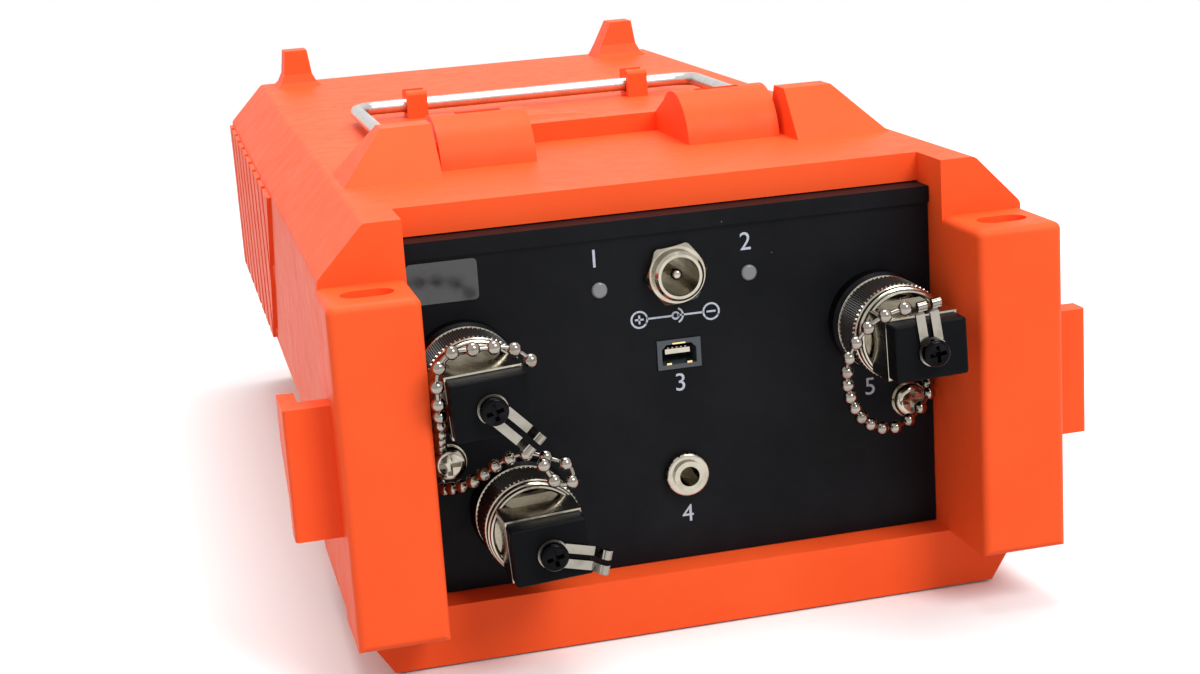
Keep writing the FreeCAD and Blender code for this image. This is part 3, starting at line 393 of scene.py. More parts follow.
@dataclass(frozen=True)
class Ink(Finish):
    """Screen-printed ink, slightly thin in places."""

    colour: RGB = (0.50, 0.54, 0.62)
    thin: RGB = (0.36, 0.39, 0.46)
    thin_fade: Pair = (0.40, 0.75)
    rough: Pair = (0.50, 0.65)
    grain: float = 0.3
    depth: float = 0.01
    grain_strength: float = 0.4

    def lay(self, graph: Graph) -> None:
        """Mottled ink over fine texture."""
        fine = graph.noise(self.grain, Octaves.STAIN)
        graph.feed(
            Base_Color=graph.blend(graph.span(fine, *self.thin_fade), self.colour, self.thin),
            Roughness=graph.span(fine, *GLOSS_SPAN, *self.rough),
            Normal=graph.bump(fine, self.depth, self.grain_strength),
        )


ORANGE = Moulded(
    "orange_moulding", (0.96, 0.094, 0.018), (0.98, 0.108, 0.023), 0.34, 0.012, (0.42, 0.56),
    0.15)
BLACK_MOULDING = Moulded(
    "black_moulding", (0.003, 0.0032, 0.0038), (0.0065, 0.007, 0.008), 0.22, 0.01, (0.34, 0.48),
    0.04)
SOCKET_GREY = Moulded(
    "socket_moulding", (0.035, 0.042, 0.052), (0.05, 0.058, 0.068), 0.18, 0.006, (0.34, 0.46),
    0.5)
KEY_RUBBER = Moulded(
    "key_rubber", (0.105, 0.11, 0.12), (0.13, 0.135, 0.145), 0.3, 0.014, (0.55, 0.7), 0.4)
POWER_RUBBER = Moulded(
    "power_key_rubber", (0.4, 0.035, 0.022), (0.46, 0.05, 0.032), 0.3, 0.014, (0.52, 0.68), 0.4)
BOARD_GREEN = Moulded(
    "solder_mask", (0.018, 0.12, 0.045), (0.03, 0.15, 0.06), 0.6, 0.02, (0.25, 0.4), 0.5)
BATTERY_BLUE = Moulded(
    "battery_wrap", (0.025, 0.08, 0.23), (0.035, 0.1, 0.27), 1.2, 0.02, (0.2, 0.32), 0.5)
PANEL_PAINT = PaintedPanel("panel_paint")
NICKEL = Plated("nickel_plate", (0.44, 0.405, 0.335), (0.27, 0.24, 0.185), (0.1, 0.22))
BEAD_NICKEL = Plated(
    "bead_plate", (0.3, 0.275, 0.24), (0.18, 0.155, 0.125), (0.05, 0.11), (1.0, 1.0, 1.0), 0.5,
    0.002)
# Near-black colour on the knurl points of the nickel ring: a painted dark reflection of the
# surroundings, not the ring's own colour.
KNURL_PAINTED_DARK_REFLECTION = Moulded(
    "knurl_painted_dark_reflection", (0.01, 0.01, 0.009), (0.02, 0.019, 0.016), 0.3, 0.003, (0.2, 0.32), 0.22)
SPRING_PLATE = Plated(
    "link_plate", (0.29, 0.27, 0.235), (0.17, 0.155, 0.125), (0.1, 0.22), (1.0, 1.0, 0.3), 0.3,
    0.003)
DRAWN_WIRE = Plated(
    "drawn_wire", (0.6, 0.59, 0.57), (0.46, 0.45, 0.43), (0.24, 0.36), (1.0, 0.06, 1.0), 0.12,
    0.003)
ZINC = Plated("zinc_plate", (0.42, 0.42, 0.43), (0.32, 0.32, 0.31), (0.25, 0.4))
INNER_SHEET = Plated(
    "inner_sheet", (0.55, 0.56, 0.57), (0.47, 0.48, 0.49), (0.32, 0.46), (1.0, 0.08, 1.0), 0.5,
    0.006)
BLACK_OXIDE = Plated("black_oxide", (0.006, 0.006, 0.007), (0.014, 0.014, 0.015), (0.1, 0.2))
# Near-black colour on the ring's band between the knurl points: painted shade in the grooves.
GROOVE_PAINTED_SHADE = Moulded(
    "groove_shade", (0.003, 0.003, 0.0028), (0.005, 0.0048, 0.0042), 0.3, 0.003, (0.5, 0.65),
    0.05)
BLACK_ANODISED = Plated("black_anodised", (0.01, 0.01, 0.012), (0.016, 0.016, 0.018), (0.34, 0.48))
MILKY_LENS = Glossy("status_lens", (0.15, 0.155, 0.165), (0.185, 0.19, 0.2), (0.22, 0.34), 0.2)
SCREEN_FILM = Glossy(
    "overlay_film", (0.016, 0.017, 0.02), (0.024, 0.025, 0.029), (0.24, 0.36), 0.1)
DISPLAY_GLASS = Glossy(
    "display_glass", (0.01, 0.014, 0.016), (0.016, 0.021, 0.023), (0.03, 0.09), 0.6)
BLANK_LABEL = Glossy(
    "blank_label_film", (0.01, 0.011, 0.013), (0.016, 0.017, 0.019), (0.1, 0.2), 0.4)
PALE_INK = Ink("pale_ink")
GILT = Plated("contact_gilt", (0.8, 0.62, 0.3), (0.66, 0.5, 0.24), (0.16, 0.28))


# ---- meshes
def add_object(name: str, data: bpy.types.ID) -> Piece:
    """Put a mesh, curve, lamp or camera in the scene at the origin."""
    thing = bpy.data.objects.new(name, data)
    bpy.context.scene.collection.objects.link(thing)
    return thing


def plain_mesh(thing: Piece) -> bpy.types.Mesh:
    """Return the mesh that an object's curves and modifiers make."""
    thing.update_tag()
    bpy.context.view_layer.update()
    graph = bpy.context.evaluated_depsgraph_get()
    return bpy.data.meshes.new_from_object(thing.evaluated_get(graph), depsgraph=graph)


def new_object(name: str, mesh: bpy.types.Mesh, finish: Finish | None = None) -> Piece:
    """Put a mesh in the scene with its finish.

    Args:
        name: name of the piece.
        mesh: its mesh, already in the row frame.
        finish: finish to assign, or None if the mesh has one.

    Returns:
        The new object.
    """
    thing = add_object(name, mesh)
    if finish is not None:
        mesh.materials.clear()
        mesh.materials.append(finish.build())
    return thing


def mesh_from(name: str, build: BMesh, smooth: float = 30.0) -> bpy.types.Mesh:
    """Turn a bmesh into a mesh that is smooth below an angle in degrees."""
    bmesh.ops.remove_doubles(build, verts=build.verts, dist=WELD_DISTANCE)
    bmesh.ops.recalc_face_normals(build, faces=build.faces)
    mesh = bpy.data.meshes.new(name)
    build.to_mesh(mesh)
    build.free()
    for face in mesh.polygons:
        face.use_smooth = True
    mesh.set_sharp_from_angle(angle=math.radians(smooth))
    return mesh


def revolve(build: BMesh, profile: list[Pair], segments: int, matrix: Matrix) -> None:
    """Add a closed turned shape about the local Y axis.

    Args:
        build: bmesh that takes the faces.
        profile: pairs of radius and Y, mm. The last pair joins the first.
        segments: faces round the axis.
        matrix: transform from local millimetres to the row frame.
    """
    rings = []
    for radius, y in profile:
        ring = []
        for i in range(segments):
            angle = 2 * math.pi * i / segments
            local = Vector((radius * math.cos(angle), y, radius * math.sin(angle)))
            ring.append(build.verts.new(matrix @ local))
        rings.append(ring)
    for first, second in zip(rings, rings[1:] + rings[:1]):
        for i in range(segments):
            j = (i + 1) % segments
            build.faces.new((first[i], first[j], second[j], second[i]))


def plate(build: BMesh, *outlines: list[Point]) -> None:
    """Add a flat plate between two outlines in the row frame."""
    front, back = ([build.verts.new(spot) for spot in outline] for outline in outlines)
    build.faces.new(front)
    build.faces.new(list(reversed(back)))
    for i in range(len(front)):
        j = (i + 1) % len(front)
        build.faces.new((front[j], front[i], back[i], back[j]))


def slab(build: BMesh, outline: list[Pair], y0: float, y1: float, matrix: Matrix) -> None:
    """Add a flat plate from an outline in local X and Z, mm."""
    plate(build, *([matrix @ Vector((x, y, z)) for x, z in outline] for y in (y0, y1)))


def bar(x0: float, x1: float, z0: float, z1: float) -> list[Pair]:
    """Return the outline of an upright rectangle."""
    return [(x0, z0), (x1, z0), (x1, z1), (x0, z1)]


class Tree:
    """A geometry node tree built in the script, with named inputs."""

    def __init__(self, name: str) -> None:
        """Start an empty tree with a geometry output."""
        self.tree = bpy.data.node_groups.new(name, "GeometryNodeTree")
        self.tree.interface.new_socket("Geometry", in_out="OUTPUT",
                                       socket_type="NodeSocketGeometry")
        self.identifiers: dict[str, str] = {}
        self.enter = self.tree.nodes.new("NodeGroupInput")
        self.leave = self.tree.nodes.new("NodeGroupOutput")

    def take(self, name: str, kind: str) -> None:
        """Add a named input of a socket kind, such as Float."""
        socket = self.tree.interface.new_socket(name, in_out="INPUT",
                                                socket_type="NodeSocket" + kind)
        self.identifiers[name] = socket.identifier

    def given(self, name: str) -> Socket:
        """Return the output of a named input."""
        return self.enter.outputs[name]

    def add(self, kind: str, **links: object) -> bpy.types.Node:
        """Add a node and set or join its inputs.

        Args:
            kind: node type.
            **links: input name, underscores for spaces, and a socket or plain value.

        Returns:
            The node.
        """
        node = self.tree.nodes.new(kind)
        for key, value in links.items():
            self.join(value, node.inputs[key.replace("_", " ")])
        return node

    def join(self, value: object, socket: Socket) -> None:
        """Join a socket, or set a plain value."""
        if isinstance(value, Socket):
            self.tree.links.new(value, socket)
        else:
            socket.default_value = value

    def math(self, kind: str, first: object, second: object = 0.0) -> Socket:
        """Return what one operation makes of two values."""
        node = self.add("ShaderNodeMath")
        node.operation = kind
        self.join(first, node.inputs[0])
        self.join(second, node.inputs[1])
        return node.outputs[0]

    def finish(self, geometry: Socket, material: Socket) -> None:
        """End the tree with real geometry and a material."""
        real = self.add("GeometryNodeRealizeInstances", Geometry=geometry)
        painted = self.add("GeometryNodeSetMaterial", Geometry=real.outputs[0], Material=material)
        self.tree.links.new(painted.outputs[0], self.leave.inputs[0])

    def run(self, name: str, values: dict[str, object]) -> bpy.types.Mesh:
        """Run the tree on an empty mesh and return the plain mesh it makes.

        Args:
            name: name of the mesh.
            values: value of each named input.

        Returns:
            A new mesh with no modifier.
        """
        host = add_object(name + "_host", bpy.data.meshes.new(name + "_host"))
        modifier = host.modifiers.new(name, "NODES")
        modifier.node_group = self.tree
        for key, value in values.items():
            modifier[self.identifiers[key]] = value
        mesh = plain_mesh(host)
        mesh.name = name
        bpy.data.objects.remove(host)
        return mesh


def dress(node: str, finish: Finish) -> None:
    """Give every slot of a carried-over node one finish."""
    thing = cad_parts[node]
    if not thing.material_slots:
        thing.data.materials.append(None)
    for slot in thing.material_slots:
        slot.link = "OBJECT"
        slot.material = finish.build()


def seat(thing: Piece, body: str, slot: Slot, *replaced: str) -> Piece:
    """Let a new piece ride on a body and stand for the nodes it replaces.

    Args:
        thing: the piece, in place.
        body: name of the body it moves with.
        slot: record slot of its finish; not used.
        *replaced: nodes that it stands for.

    Returns:
        The same piece.
    """
    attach(thing, body)
    if replaced:
        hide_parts(*replaced)
    log.info("%s rides on %s", thing.name, body)
    return thing


# ---- chains
ROUTE_RESOLUTION, ROUTE_STEPS = 24, 120
BEAD_SEGMENTS, BEAD_RINGS, ROD_SIDES = 18, 12, 7


def bead_tree() -> Tree:
    """Return the tree that threads beads and short rods along a route."""
    tree = Tree("bead_run")
    for name, kind in (("Route", "Object"), ("Beads", "Int"), ("Bead radius", "Float"),
                       ("Rod radius", "Float"), ("Length", "Float"), ("Material", "Material")):
        tree.take(name, kind)
    route = tree.add("GeometryNodeObjectInfo", Object=tree.given("Route"))
    trimmed = tree.add("GeometryNodeTrimCurve")
    trimmed.mode = "LENGTH"
    tree.join(route.outputs["Geometry"], trimmed.inputs["Curve"])
    radius = tree.given("Bead radius")
    ends = [s for s in trimmed.inputs if s.type == "VALUE" and s.enabled]
    tree.join(radius, ends[-2])
    tree.join(tree.math("SUBTRACT", tree.given("Length"), radius), ends[-1])
    fine = tree.add("GeometryNodeResampleCurve", Curve=trimmed.outputs["Curve"], Count=ROUTE_STEPS)
    places = tree.add("GeometryNodeResampleCurve", Curve=fine.outputs["Curve"],
                      Count=tree.given("Beads"))
    bead = tree.add("GeometryNodeMeshUVSphere", Segments=BEAD_SEGMENTS, Rings=BEAD_RINGS,
                    Radius=radius)
    beads = tree.add("GeometryNodeInstanceOnPoints", Points=places.outputs["Curve"],
                     Instance=bead.outputs["Mesh"])
    section = tree.add("GeometryNodeCurvePrimitiveCircle", Resolution=ROD_SIDES,
                       Radius=tree.given("Rod radius"))
    rod = tree.add("GeometryNodeCurveToMesh", Curve=fine.outputs["Curve"],
                   Profile_Curve=section.outputs["Curve"])
    both = tree.add("GeometryNodeJoinGeometry")
    tree.join(rod.outputs["Mesh"], both.inputs[0])
    tree.join(beads.outputs["Instances"], both.inputs[0])
    soft = tree.add("GeometryNodeSetShadeSmooth", Geometry=both.outputs[0])
    tree.finish(soft.outputs[0], tree.given("Material"))
    return tree


@dataclass
class BeadChain:
    """A bead chain from its eyelet on the panel to its far end."""

    node: str
    route: tuple[Point, ...]
    far_end: str
    place: Place
    bead: float = 2.4
    tube: float = 2.25
    rod: float = 0.72
    pitch: float = 3.5

    def curve(self) -> Piece:
        """Return the route as one smooth line, eyelet first."""
        data = bpy.data.curves.new(self.node + "_route", "CURVE")
        data.dimensions = "3D"
        data.resolution_u = ROUTE_RESOLUTION
        spline = data.splines.new("NURBS")
        spline.points.add(len(self.route) - 1)
        for knot, spot in zip(spline.points, reversed(self.route)):
            knot.co = (*self.place.point(*spot), 1.0)
        spline.order_u = 3
        spline.use_endpoint_u = True
        return add_object(self.node + "_route", data)

    def build(self, tree: Tree) -> Piece:
        """Args:
            tree: the shared bead tree.

        Returns:
            The chain as one piece.
        """
        line = self.curve()
        sampled = plain_mesh(line)
        path = [v.co.copy() for v in sampled.vertices]
        length = sum((b - a).length for a, b in zip(path, path[1:]))
        count = round((length - self.bead * MM) / (self.pitch * MM)) + 1
        mesh = tree.run(self.node + "_beads", {
            "Route": line, "Beads": count, "Bead radius": self.bead * MM / 2,
            "Rod radius": self.rod * MM / 2, "Length": length,
            "Material": BEAD_NICKEL.build(),
        })
        thing = new_object(self.node + "_beads", mesh)
        seat(thing, HOUSING_BODY, Slot.NICKEL, self.node)
        bpy.data.objects.remove(line)
        bpy.data.meshes.remove(sampled)
        log.info("%s has %d beads on %.1f mm", self.node, count, length / MM)
        return thing


# ---- ports
STUD_SIDES = 4
# Radius of a stud as a share of half the distance between studs.
STUD_SHARE = 0.72
# Places of a ring's materials in its mesh: plate, painted dark reflection on the knurl, painted
# groove shade.
BRIGHT, KNURL, GROOVE = range(3)


def knurl_tree() -> Tree:
    """Return the tree that covers a band about the Y axis with diamond points."""
    tree = Tree("diamond_knurl")
    for name, kind in (("Columns", "Int"), ("Rows", "Int"), ("Radius", "Float"),
                       ("Length", "Float"), ("Depth", "Float"), ("Centre", "Vector"),
                       ("Material", "Material")):
        tree.take(name, kind)
    columns, rows = tree.given("Columns"), tree.given("Rows")
    grid = tree.add("GeometryNodeMeshGrid", Size_X=1.0, Size_Y=1.0,
                    Vertices_X=columns, Vertices_Y=rows)
    spot = tree.add("ShaderNodeSeparateXYZ",
                    Vector=tree.add("GeometryNodeInputPosition").outputs[0])
    across = tree.math("MULTIPLY", tree.math("ADD", spot.outputs[0], 0.5),
                       tree.math("SUBTRACT", columns, 1))
    along = tree.math("ADD", spot.outputs[1], 0.5)
    row = tree.math("ROUND", tree.math("MULTIPLY", along, tree.math("SUBTRACT", rows, 1)))
    stagger = tree.math("MULTIPLY", tree.math("MODULO", row, 2.0), 0.5)
    angle = tree.math("MULTIPLY", tree.math("DIVIDE", tree.math("ADD", across, stagger), columns),
                      2 * math.pi)
    radius = tree.given("Radius")
    wrapped = tree.add("ShaderNodeCombineXYZ")
    tree.join(tree.math("MULTIPLY", tree.math("COSINE", angle), radius), wrapped.inputs[0])
    tree.join(tree.math("MULTIPLY", along, tree.given("Length")), wrapped.inputs[1])
    tree.join(tree.math("MULTIPLY", tree.math("SINE", angle), radius), wrapped.inputs[2])
    centred = tree.add("ShaderNodeVectorMath")
    tree.join(wrapped.outputs[0], centred.inputs[0])
    tree.join(tree.given("Centre"), centred.inputs[1])
    turn = tree.add("ShaderNodeCombineXYZ")
    tree.join(tree.math("SUBTRACT", math.pi / 2, angle), turn.inputs[1])
    held = tree.add("GeometryNodeCaptureAttribute")
    held.capture_items.new("VECTOR", "Turn")
    tree.join(grid.outputs["Mesh"], held.inputs["Geometry"])
    tree.join(turn.outputs[0], held.inputs["Turn"])
    moved = tree.add("GeometryNodeSetPosition", Geometry=held.outputs["Geometry"],
                     Position=centred.outputs[0])
    half = tree.math("DIVIDE", tree.math("MULTIPLY", radius, math.pi), columns)
    step = tree.math("DIVIDE", tree.given("Length"), tree.math("SUBTRACT", rows, 1))
    point = tree.add("GeometryNodeMeshCone")
    point.fill_type = "NONE"
    tree.join(STUD_SIDES, point.inputs["Vertices"])
    tree.join(0.0, point.inputs["Radius Top"])
    tree.join(tree.math("MULTIPLY", half, STUD_SHARE), point.inputs["Radius Bottom"])
    tree.join(tree.given("Depth"), point.inputs["Depth"])
    shape = tree.add("ShaderNodeCombineXYZ")
    tree.join(1.0, shape.inputs[0])
    tree.join(tree.math("DIVIDE", step, half), shape.inputs[1])
    tree.join(1.0, shape.inputs[2])
    studs = tree.add("GeometryNodeInstanceOnPoints", Points=moved.outputs[0],
                     Instance=point.outputs["Mesh"], Rotation=held.outputs["Turn"],
                     Scale=shape.outputs[0])
    tree.finish(studs.outputs["Instances"], tree.given("Material"))
    return tree


@dataclass
class Port:
    """One optical port: knurled ring, head, cap, screw and link."""

    name: str
    x: float
    z: float
    place: Place
    ring_front: float = 7.65
    ring_length: float = 11.2
    ring_radius: float = 8.8
    counterbore: float = 7.5
    web_bore: float = 6.7
    web_depth: float = 3.6
    knurl_start: float = 3.15
    knurl_depth: float = 0.30
    knurl_inset: float = 0.2
    knurl_margin: float = 1.55
    toothed_edge: float = 0.2
    groove_lead: float = 0.1
    groove_tail: float = 1.1
    groove_depth: float = 0.5
    columns: int = 66
    segments: int = 96

    def ring_profile(self) -> list[Pair]:
        """Return the ring's section as radius and Y, mm, front face first.

        The offsets are the turned steps and bevels, from the outside radius
        and from either end.
        """
        f, r, end = self.ring_front, self.ring_radius, self.ring_front + self.ring_length
        base = r - self.knurl_depth
        return [
            (self.web_bore, f + self.web_depth), (self.counterbore, f + self.web_depth),
            (self.counterbore, f + 0.35), (self.counterbore + 0.25, f + 0.1),
            (r - 1.05, f), (r - 0.75, f + 0.12), (r - 0.62, f + 0.5), (r - 0.62, f + 0.9),
            (r - 0.42, f + 1.0), (r - 0.30, f + 1.2), (r - 0.30, f + 2.1),
            (r - 0.55, f + 2.25), (r - 0.55, f + 2.55), (r - 0.22, f + 2.7),
            (base, f + self.knurl_start), (base, end - 1.15), (r - 0.35, end - 1.1),
            (r - 0.35, end - 0.85), (r - 0.05, end - 0.75), (r, end - 0.55), (r - 0.1, end - 0.15),
            (r - 0.35, end), (self.web_bore, end),
        ]

    def ring(self, tree: Tree) -> Piece:
        """Build the knurled ring in place of the plain one.

        Args:
            tree: the shared knurl tree.

        Returns:
            The ring as one piece with its plate, a painted dark reflection on the knurl and
            painted shade in the grooves.
        """
        build = bmesh.new()
        revolve(build, self.ring_profile(), self.segments,
                self.place.matrix(self.x, 0.0, self.z))
        body = mesh_from("ring_" + self.name, build)
        for finish in (NICKEL, KNURL_PAINTED_DARK_REFLECTION, GROOVE_PAINTED_SHADE):
            body.materials.append(finish.build())
        start = self.ring_front + self.knurl_start + self.knurl_inset
        length = self.ring_length - self.knurl_start - self.knurl_margin
        rows = 2 * round(length / (2 * math.pi * self.ring_radius / self.columns)) + 1
        studs = tree.run("knurl_" + self.name, {
            "Columns": self.columns, "Rows": rows,
            "Radius": (self.ring_radius - self.knurl_depth) * MM,
            "Length": length * MM, "Depth": self.knurl_depth * MM,
            "Centre": self.place.point(self.x, start, self.z),
            "Material": KNURL_PAINTED_DARK_REFLECTION.build(),
        })
        joined = bmesh.new()
        joined.from_mesh(body)
        marks = len(joined.faces)
        joined.from_mesh(studs)
        joined.faces.ensure_lookup_table()
        low, high, edge = (self.place.point(0, y, 0).y for y in (
            self.ring_front + self.knurl_start - self.groove_lead,
            self.ring_front + self.ring_length - self.groove_tail,
            start + self.toothed_edge))
        for index, face in enumerate(joined.faces):
            middle = face.calc_center_median()
            away = (middle - self.place.point(self.x, 0, self.z)) / MM
            outside = math.hypot(away.x, away.z) > self.ring_radius - self.groove_depth
            if index >= marks:
                # Knurl points: the front row keeps the plate, the rest get the painted dark
                # reflection.
                face.material_index = BRIGHT if middle.y < edge else KNURL
            else:
                # Band faces between the knurl points get the painted groove shade; the rest keep
                # the plate.
                face.material_index = GROOVE if outside and low < middle.y < high else BRIGHT
        joined.to_mesh(body)
        joined.free()
        bpy.data.meshes.remove(studs)
        thing = new_object("knurled_ring_" + self.name, body)
        return seat(thing, "ring_" + self.name, Slot.NICKEL, "coupling_ring_" + self.name)

    def build(self, tree: Tree) -> None:
        """Dress the carried-over pieces and build the ring."""
        for node, finish in (("port_base_", BLACK_ANODISED), ("adapter_head_", NICKEL),
                             ("dust_cap_", BLACK_MOULDING), ("cap_screw_", BLACK_OXIDE),
                             ("cap_link_", SPRING_PLATE)):
            dress(node + self.name, finish)
        self.ring(tree)


# ---- housing
@dataclass
class Housing:
    """The two orange shells, their screws and the bail stand."""

    def build(self) -> None:
        """Dress the shells and the hardware on them."""
        for node in ("back_shell", "front_shell"):
            dress(node, ORANGE)
        dress("case_screws", ZINC)
        dress("bail_stand", DRAWN_WIRE)


@dataclass
class ConnectorPanel:
    """The black panel, its sockets and what is printed on it."""

    place: Place
    ink_proud: float = 0.03
    ink_root: float = 0.02
    arc_steps: int = 36
    symbol_z: float = 56.6
    symbol_x: Point = (-6.9, -0.2, 6.4)
    symbol_line: float = 0.34
    sign_radius: float = 1.45
    plus_reach: float = 0.8
    minus_reach: float = 0.85
    plus_line_gap: float = 0.75
    minus_line_gap: float = 0.3
    pin_radius: float = 0.6
    sleeve_radius: float = 1.35
    sleeve_arc: float = 68.0
    digit_height: float = 3.3
    font_ratio: float = 1.4
    label_box: tuple[float, ...] = (-47.6, -35.2, 63.9, 71.2)
    label_corner: float = 0.8
    corner_steps: int = 4
    label_proud: float = 0.12
    label_root: float = 0.02
    usb_z: float = 49.6
    tab_proud: float = 0.35
    # Left, right, bottom, top and depth of each spring tab.
    tabs: tuple[tuple[float, ...], ...] = (
        (-1.2, 1.2, 1.86, 2.12, 1.6), (-2.4, -1.5, -1.86, -1.5, 1.2),
        (1.4, 2.3, -1.86, -1.5, 1.2),
    )
    numbers: tuple[tuple[str, float, float], ...] = (
        ("1", -14.4, 68.4), ("2", 13.4, 68.4), ("3", 0.0, 44.1), ("4", 0.0, 19.3),
        ("5", 36.0, 38.6),
    )

    def dress_parts(self) -> None:
        """Dress the carried-over pieces."""
        dress("connector_panel", PANEL_PAINT)
        for node in ("dc_jack", "dc_jack_pin", "dc_jack_nut", "serial_jack", "serial_jack_nut",
                     "usb_contacts", "chain_screws", "chain_eyelets"):
            dress(node, NICKEL)
        for node in ("charge_light", "power_light"):
            dress(node, MILKY_LENS)
        dress("usb_socket", SOCKET_GREY)

    def hoop(self, build: BMesh, x: float, z: float, radius: float, width: float,
             start: float = 0.0, end: float = 360.0) -> None:
        """Add a printed ring or arc, sizes in mm and angles in degrees."""
        matrix = self.place.matrix(x, PANEL_FACE - self.ink_proud, z)
        steps = round(self.arc_steps * (end - start) / 360)
        angles = [math.radians(start + (end - start) * i / steps) for i in range(steps + 1)]
        for a, b in zip(angles, angles[1:]):
            inner, outer = radius - width / 2, radius + width / 2
            slab(build, [(inner * math.cos(a), inner * math.sin(a)),
                         (outer * math.cos(a), outer * math.sin(a)),
                         (outer * math.cos(b), outer * math.sin(b)),
                         (inner * math.cos(b), inner * math.sin(b))],
                 0.0, self.ink_proud + self.ink_root, matrix)

    def symbol(self) -> Piece:
        """Print the plain polarity symbol of a centre-positive socket."""
        build = bmesh.new()
        plus, middle, minus = self.symbol_x
        z, w, half = self.symbol_z, self.symbol_line, self.symbol_line / 2
        flat = self.place.matrix(0.0, PANEL_FACE - self.ink_proud, z)
        for x0, x1, reach in (
                (plus + self.sign_radius, middle - self.plus_line_gap, half),
                (middle + self.minus_line_gap, minus - self.sign_radius, half),
                (plus - self.plus_reach, plus + self.plus_reach, half),
                (plus - half, plus + half, self.plus_reach),
                (minus - self.minus_reach, minus + self.minus_reach, half)):
            slab(build, bar(x0, x1, -reach, reach), 0.0, self.ink_proud + self.ink_root, flat)
        self.hoop(build, plus, z, self.sign_radius, w)
        self.hoop(build, minus, z, self.sign_radius, w)
        self.hoop(build, middle, z, self.pin_radius, w)
        self.hoop(build, middle, z, self.sleeve_radius, w, -self.sleeve_arc, self.sleeve_arc)
        thing = new_object("polarity_symbol", mesh_from("polarity_symbol", build), PALE_INK)
        return seat(thing, HOUSING_BODY, Slot.PRINT)

    def number(self, text: str, x: float, z: float) -> Piece:
        """Print one plain number on the panel.

        Args:
            text: the digit.
            x: its middle across the panel, mm.
            z: its middle height, mm.

        Returns:
            The printed digit.
        """
        data = bpy.data.curves.new("number_" + text, "FONT")
        data.body = text
        data.align_x, data.align_y = "CENTER", "CENTER"
        data.size = self.digit_height * self.font_ratio
        data.extrude = (self.ink_proud + self.ink_root) / 2
        carrier = add_object("number_" + text, data)
        mesh = plain_mesh(carrier)
        bpy.data.objects.remove(carrier)
        upright = Matrix.Rotation(math.radians(90), 4, "X")
        middle = PANEL_FACE - (self.ink_proud - self.ink_root) / 2
        mesh.transform(self.place.matrix(x, middle, z) @ upright)
        thing = new_object("panel_number_" + text, mesh, PALE_INK)
        return seat(thing, HOUSING_BODY, Slot.PRINT)

    def blank_label(self) -> Piece:
        """Stick the bare dark label above the upper left port."""
        build = bmesh.new()
        matrix = self.place.matrix(0.0, PANEL_FACE - self.label_proud, 0.0)
        (x0, x1, z0, z1), r = self.label_box, self.label_corner
        outline = []
        for cx, cz, start in ((x1 - r, z1 - r, 0), (x0 + r, z1 - r, 90), (x0 + r, z0 + r, 180),
                              (x1 - r, z0 + r, 270)):
            for step in range(self.corner_steps + 1):
                a = math.radians(start + 90 / self.corner_steps * step)
                outline.append((cx + r * math.cos(a), cz + r * math.sin(a)))
        slab(build, outline, 0.0, self.label_proud + self.label_root, matrix)
        thing = new_object("blank_label", mesh_from("blank_label", build), BLANK_LABEL)
        return seat(thing, HOUSING_BODY, Slot.FILM)

    def usb_tabs(self) -> Piece:
        """Add the spring tab over the small socket and the two under it."""
        build = bmesh.new()
        matrix = self.place.matrix(0.0, PANEL_FACE - self.tab_proud, self.usb_z)
        for x0, x1, z0, z1, y1 in self.tabs:
            slab(build, bar(x0, x1, z0, z1), 0.0, y1, matrix)
        thing = new_object("usb_spring_tabs", mesh_from("usb_spring_tabs", build), GILT)
        return seat(thing, HOUSING_BODY, Slot.NICKEL)

    def build(self) -> None:
        """Dress and print the whole panel."""
        self.dress_parts()
        self.symbol()
        for text, x, z in self.numbers:
            self.number(text, x, z)
        self.blank_label()
        self.usb_tabs()


# ---- screen side
@dataclass
class ScreenSide:
    """Overlay, display and keys on the side the instrument lies on."""

    place: Place
    arrows: tuple[tuple[str, float], ...] = (
        ("nav_key_up", 90.0), ("nav_key_down", 270.0), ("nav_key_left", 180.0),
        ("nav_key_right", 0.0),
    )
    arrow_reach: float = 2.1
    arrow_proud: float = 0.05
    arrow_depth: float = 0.3

    def arrow(self, key: str, heading: float) -> Piece:
        """Mark one direction key with a plain triangle."""
        low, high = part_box(key)
        middle = Vector([(a + b) / 2 for a, b in zip(low, high)])
        top, reach = low[2] - self.arrow_proud * MM, self.arrow_reach * MM
        angles = [math.radians(heading + turn) for turn in (0, 120, 240)]
        build = bmesh.new()
        plate(build, *(
            [(middle.x + reach * math.cos(a), middle.y - reach * math.sin(a), z) for a in angles]
            for z in (top, top + self.arrow_depth * MM)))
        thing = new_object(key + "_mark", mesh_from(key + "_mark", build), PALE_INK)
        return seat(thing, key + "_body", Slot.PRINT)

    def build(self) -> None:
        """Dress the screen side and what lies behind it."""
        for node, finish in (
                ("front_overlay", SCREEN_FILM), ("display_lens", DISPLAY_GLASS),
                ("lcd_module", INNER_SHEET), ("keypad_mat", KEY_RUBBER),
                ("main_board", BOARD_GREEN), ("optical_module", INNER_SHEET),
                ("battery_pack", BATTERY_BLUE)):
            dress(node, finish)
        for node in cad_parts:
            if "_key" in node:
                dress(node, POWER_RUBBER if node == "power_key" else KEY_RUBBER)
        for key, heading in self.arrows:
            self.arrow(key, heading)


# ---- studio
def background_ray(tree: bpy.types.NodeTree) -> Socket:
    """Return 1 for the rays that show the background, and 0 for those that light the object.

    Args:
        tree: the material's or the world's own nodes.

    Returns:
        The socket that holds it.
    """
    paths = tree.nodes.new("ShaderNodeLightPath")
    seen = paths.outputs["Is Camera Ray"]
    for ray in ("Is Glossy Ray", "Is Transmission Ray"):
        either = tree.nodes.new("ShaderNodeMath")
        either.operation = "MAXIMUM"
        tree.links.new(seen, either.inputs[0])
        tree.links.new(paths.outputs[ray], either.inputs[1])
        seen = either.outputs[0]
    return seen


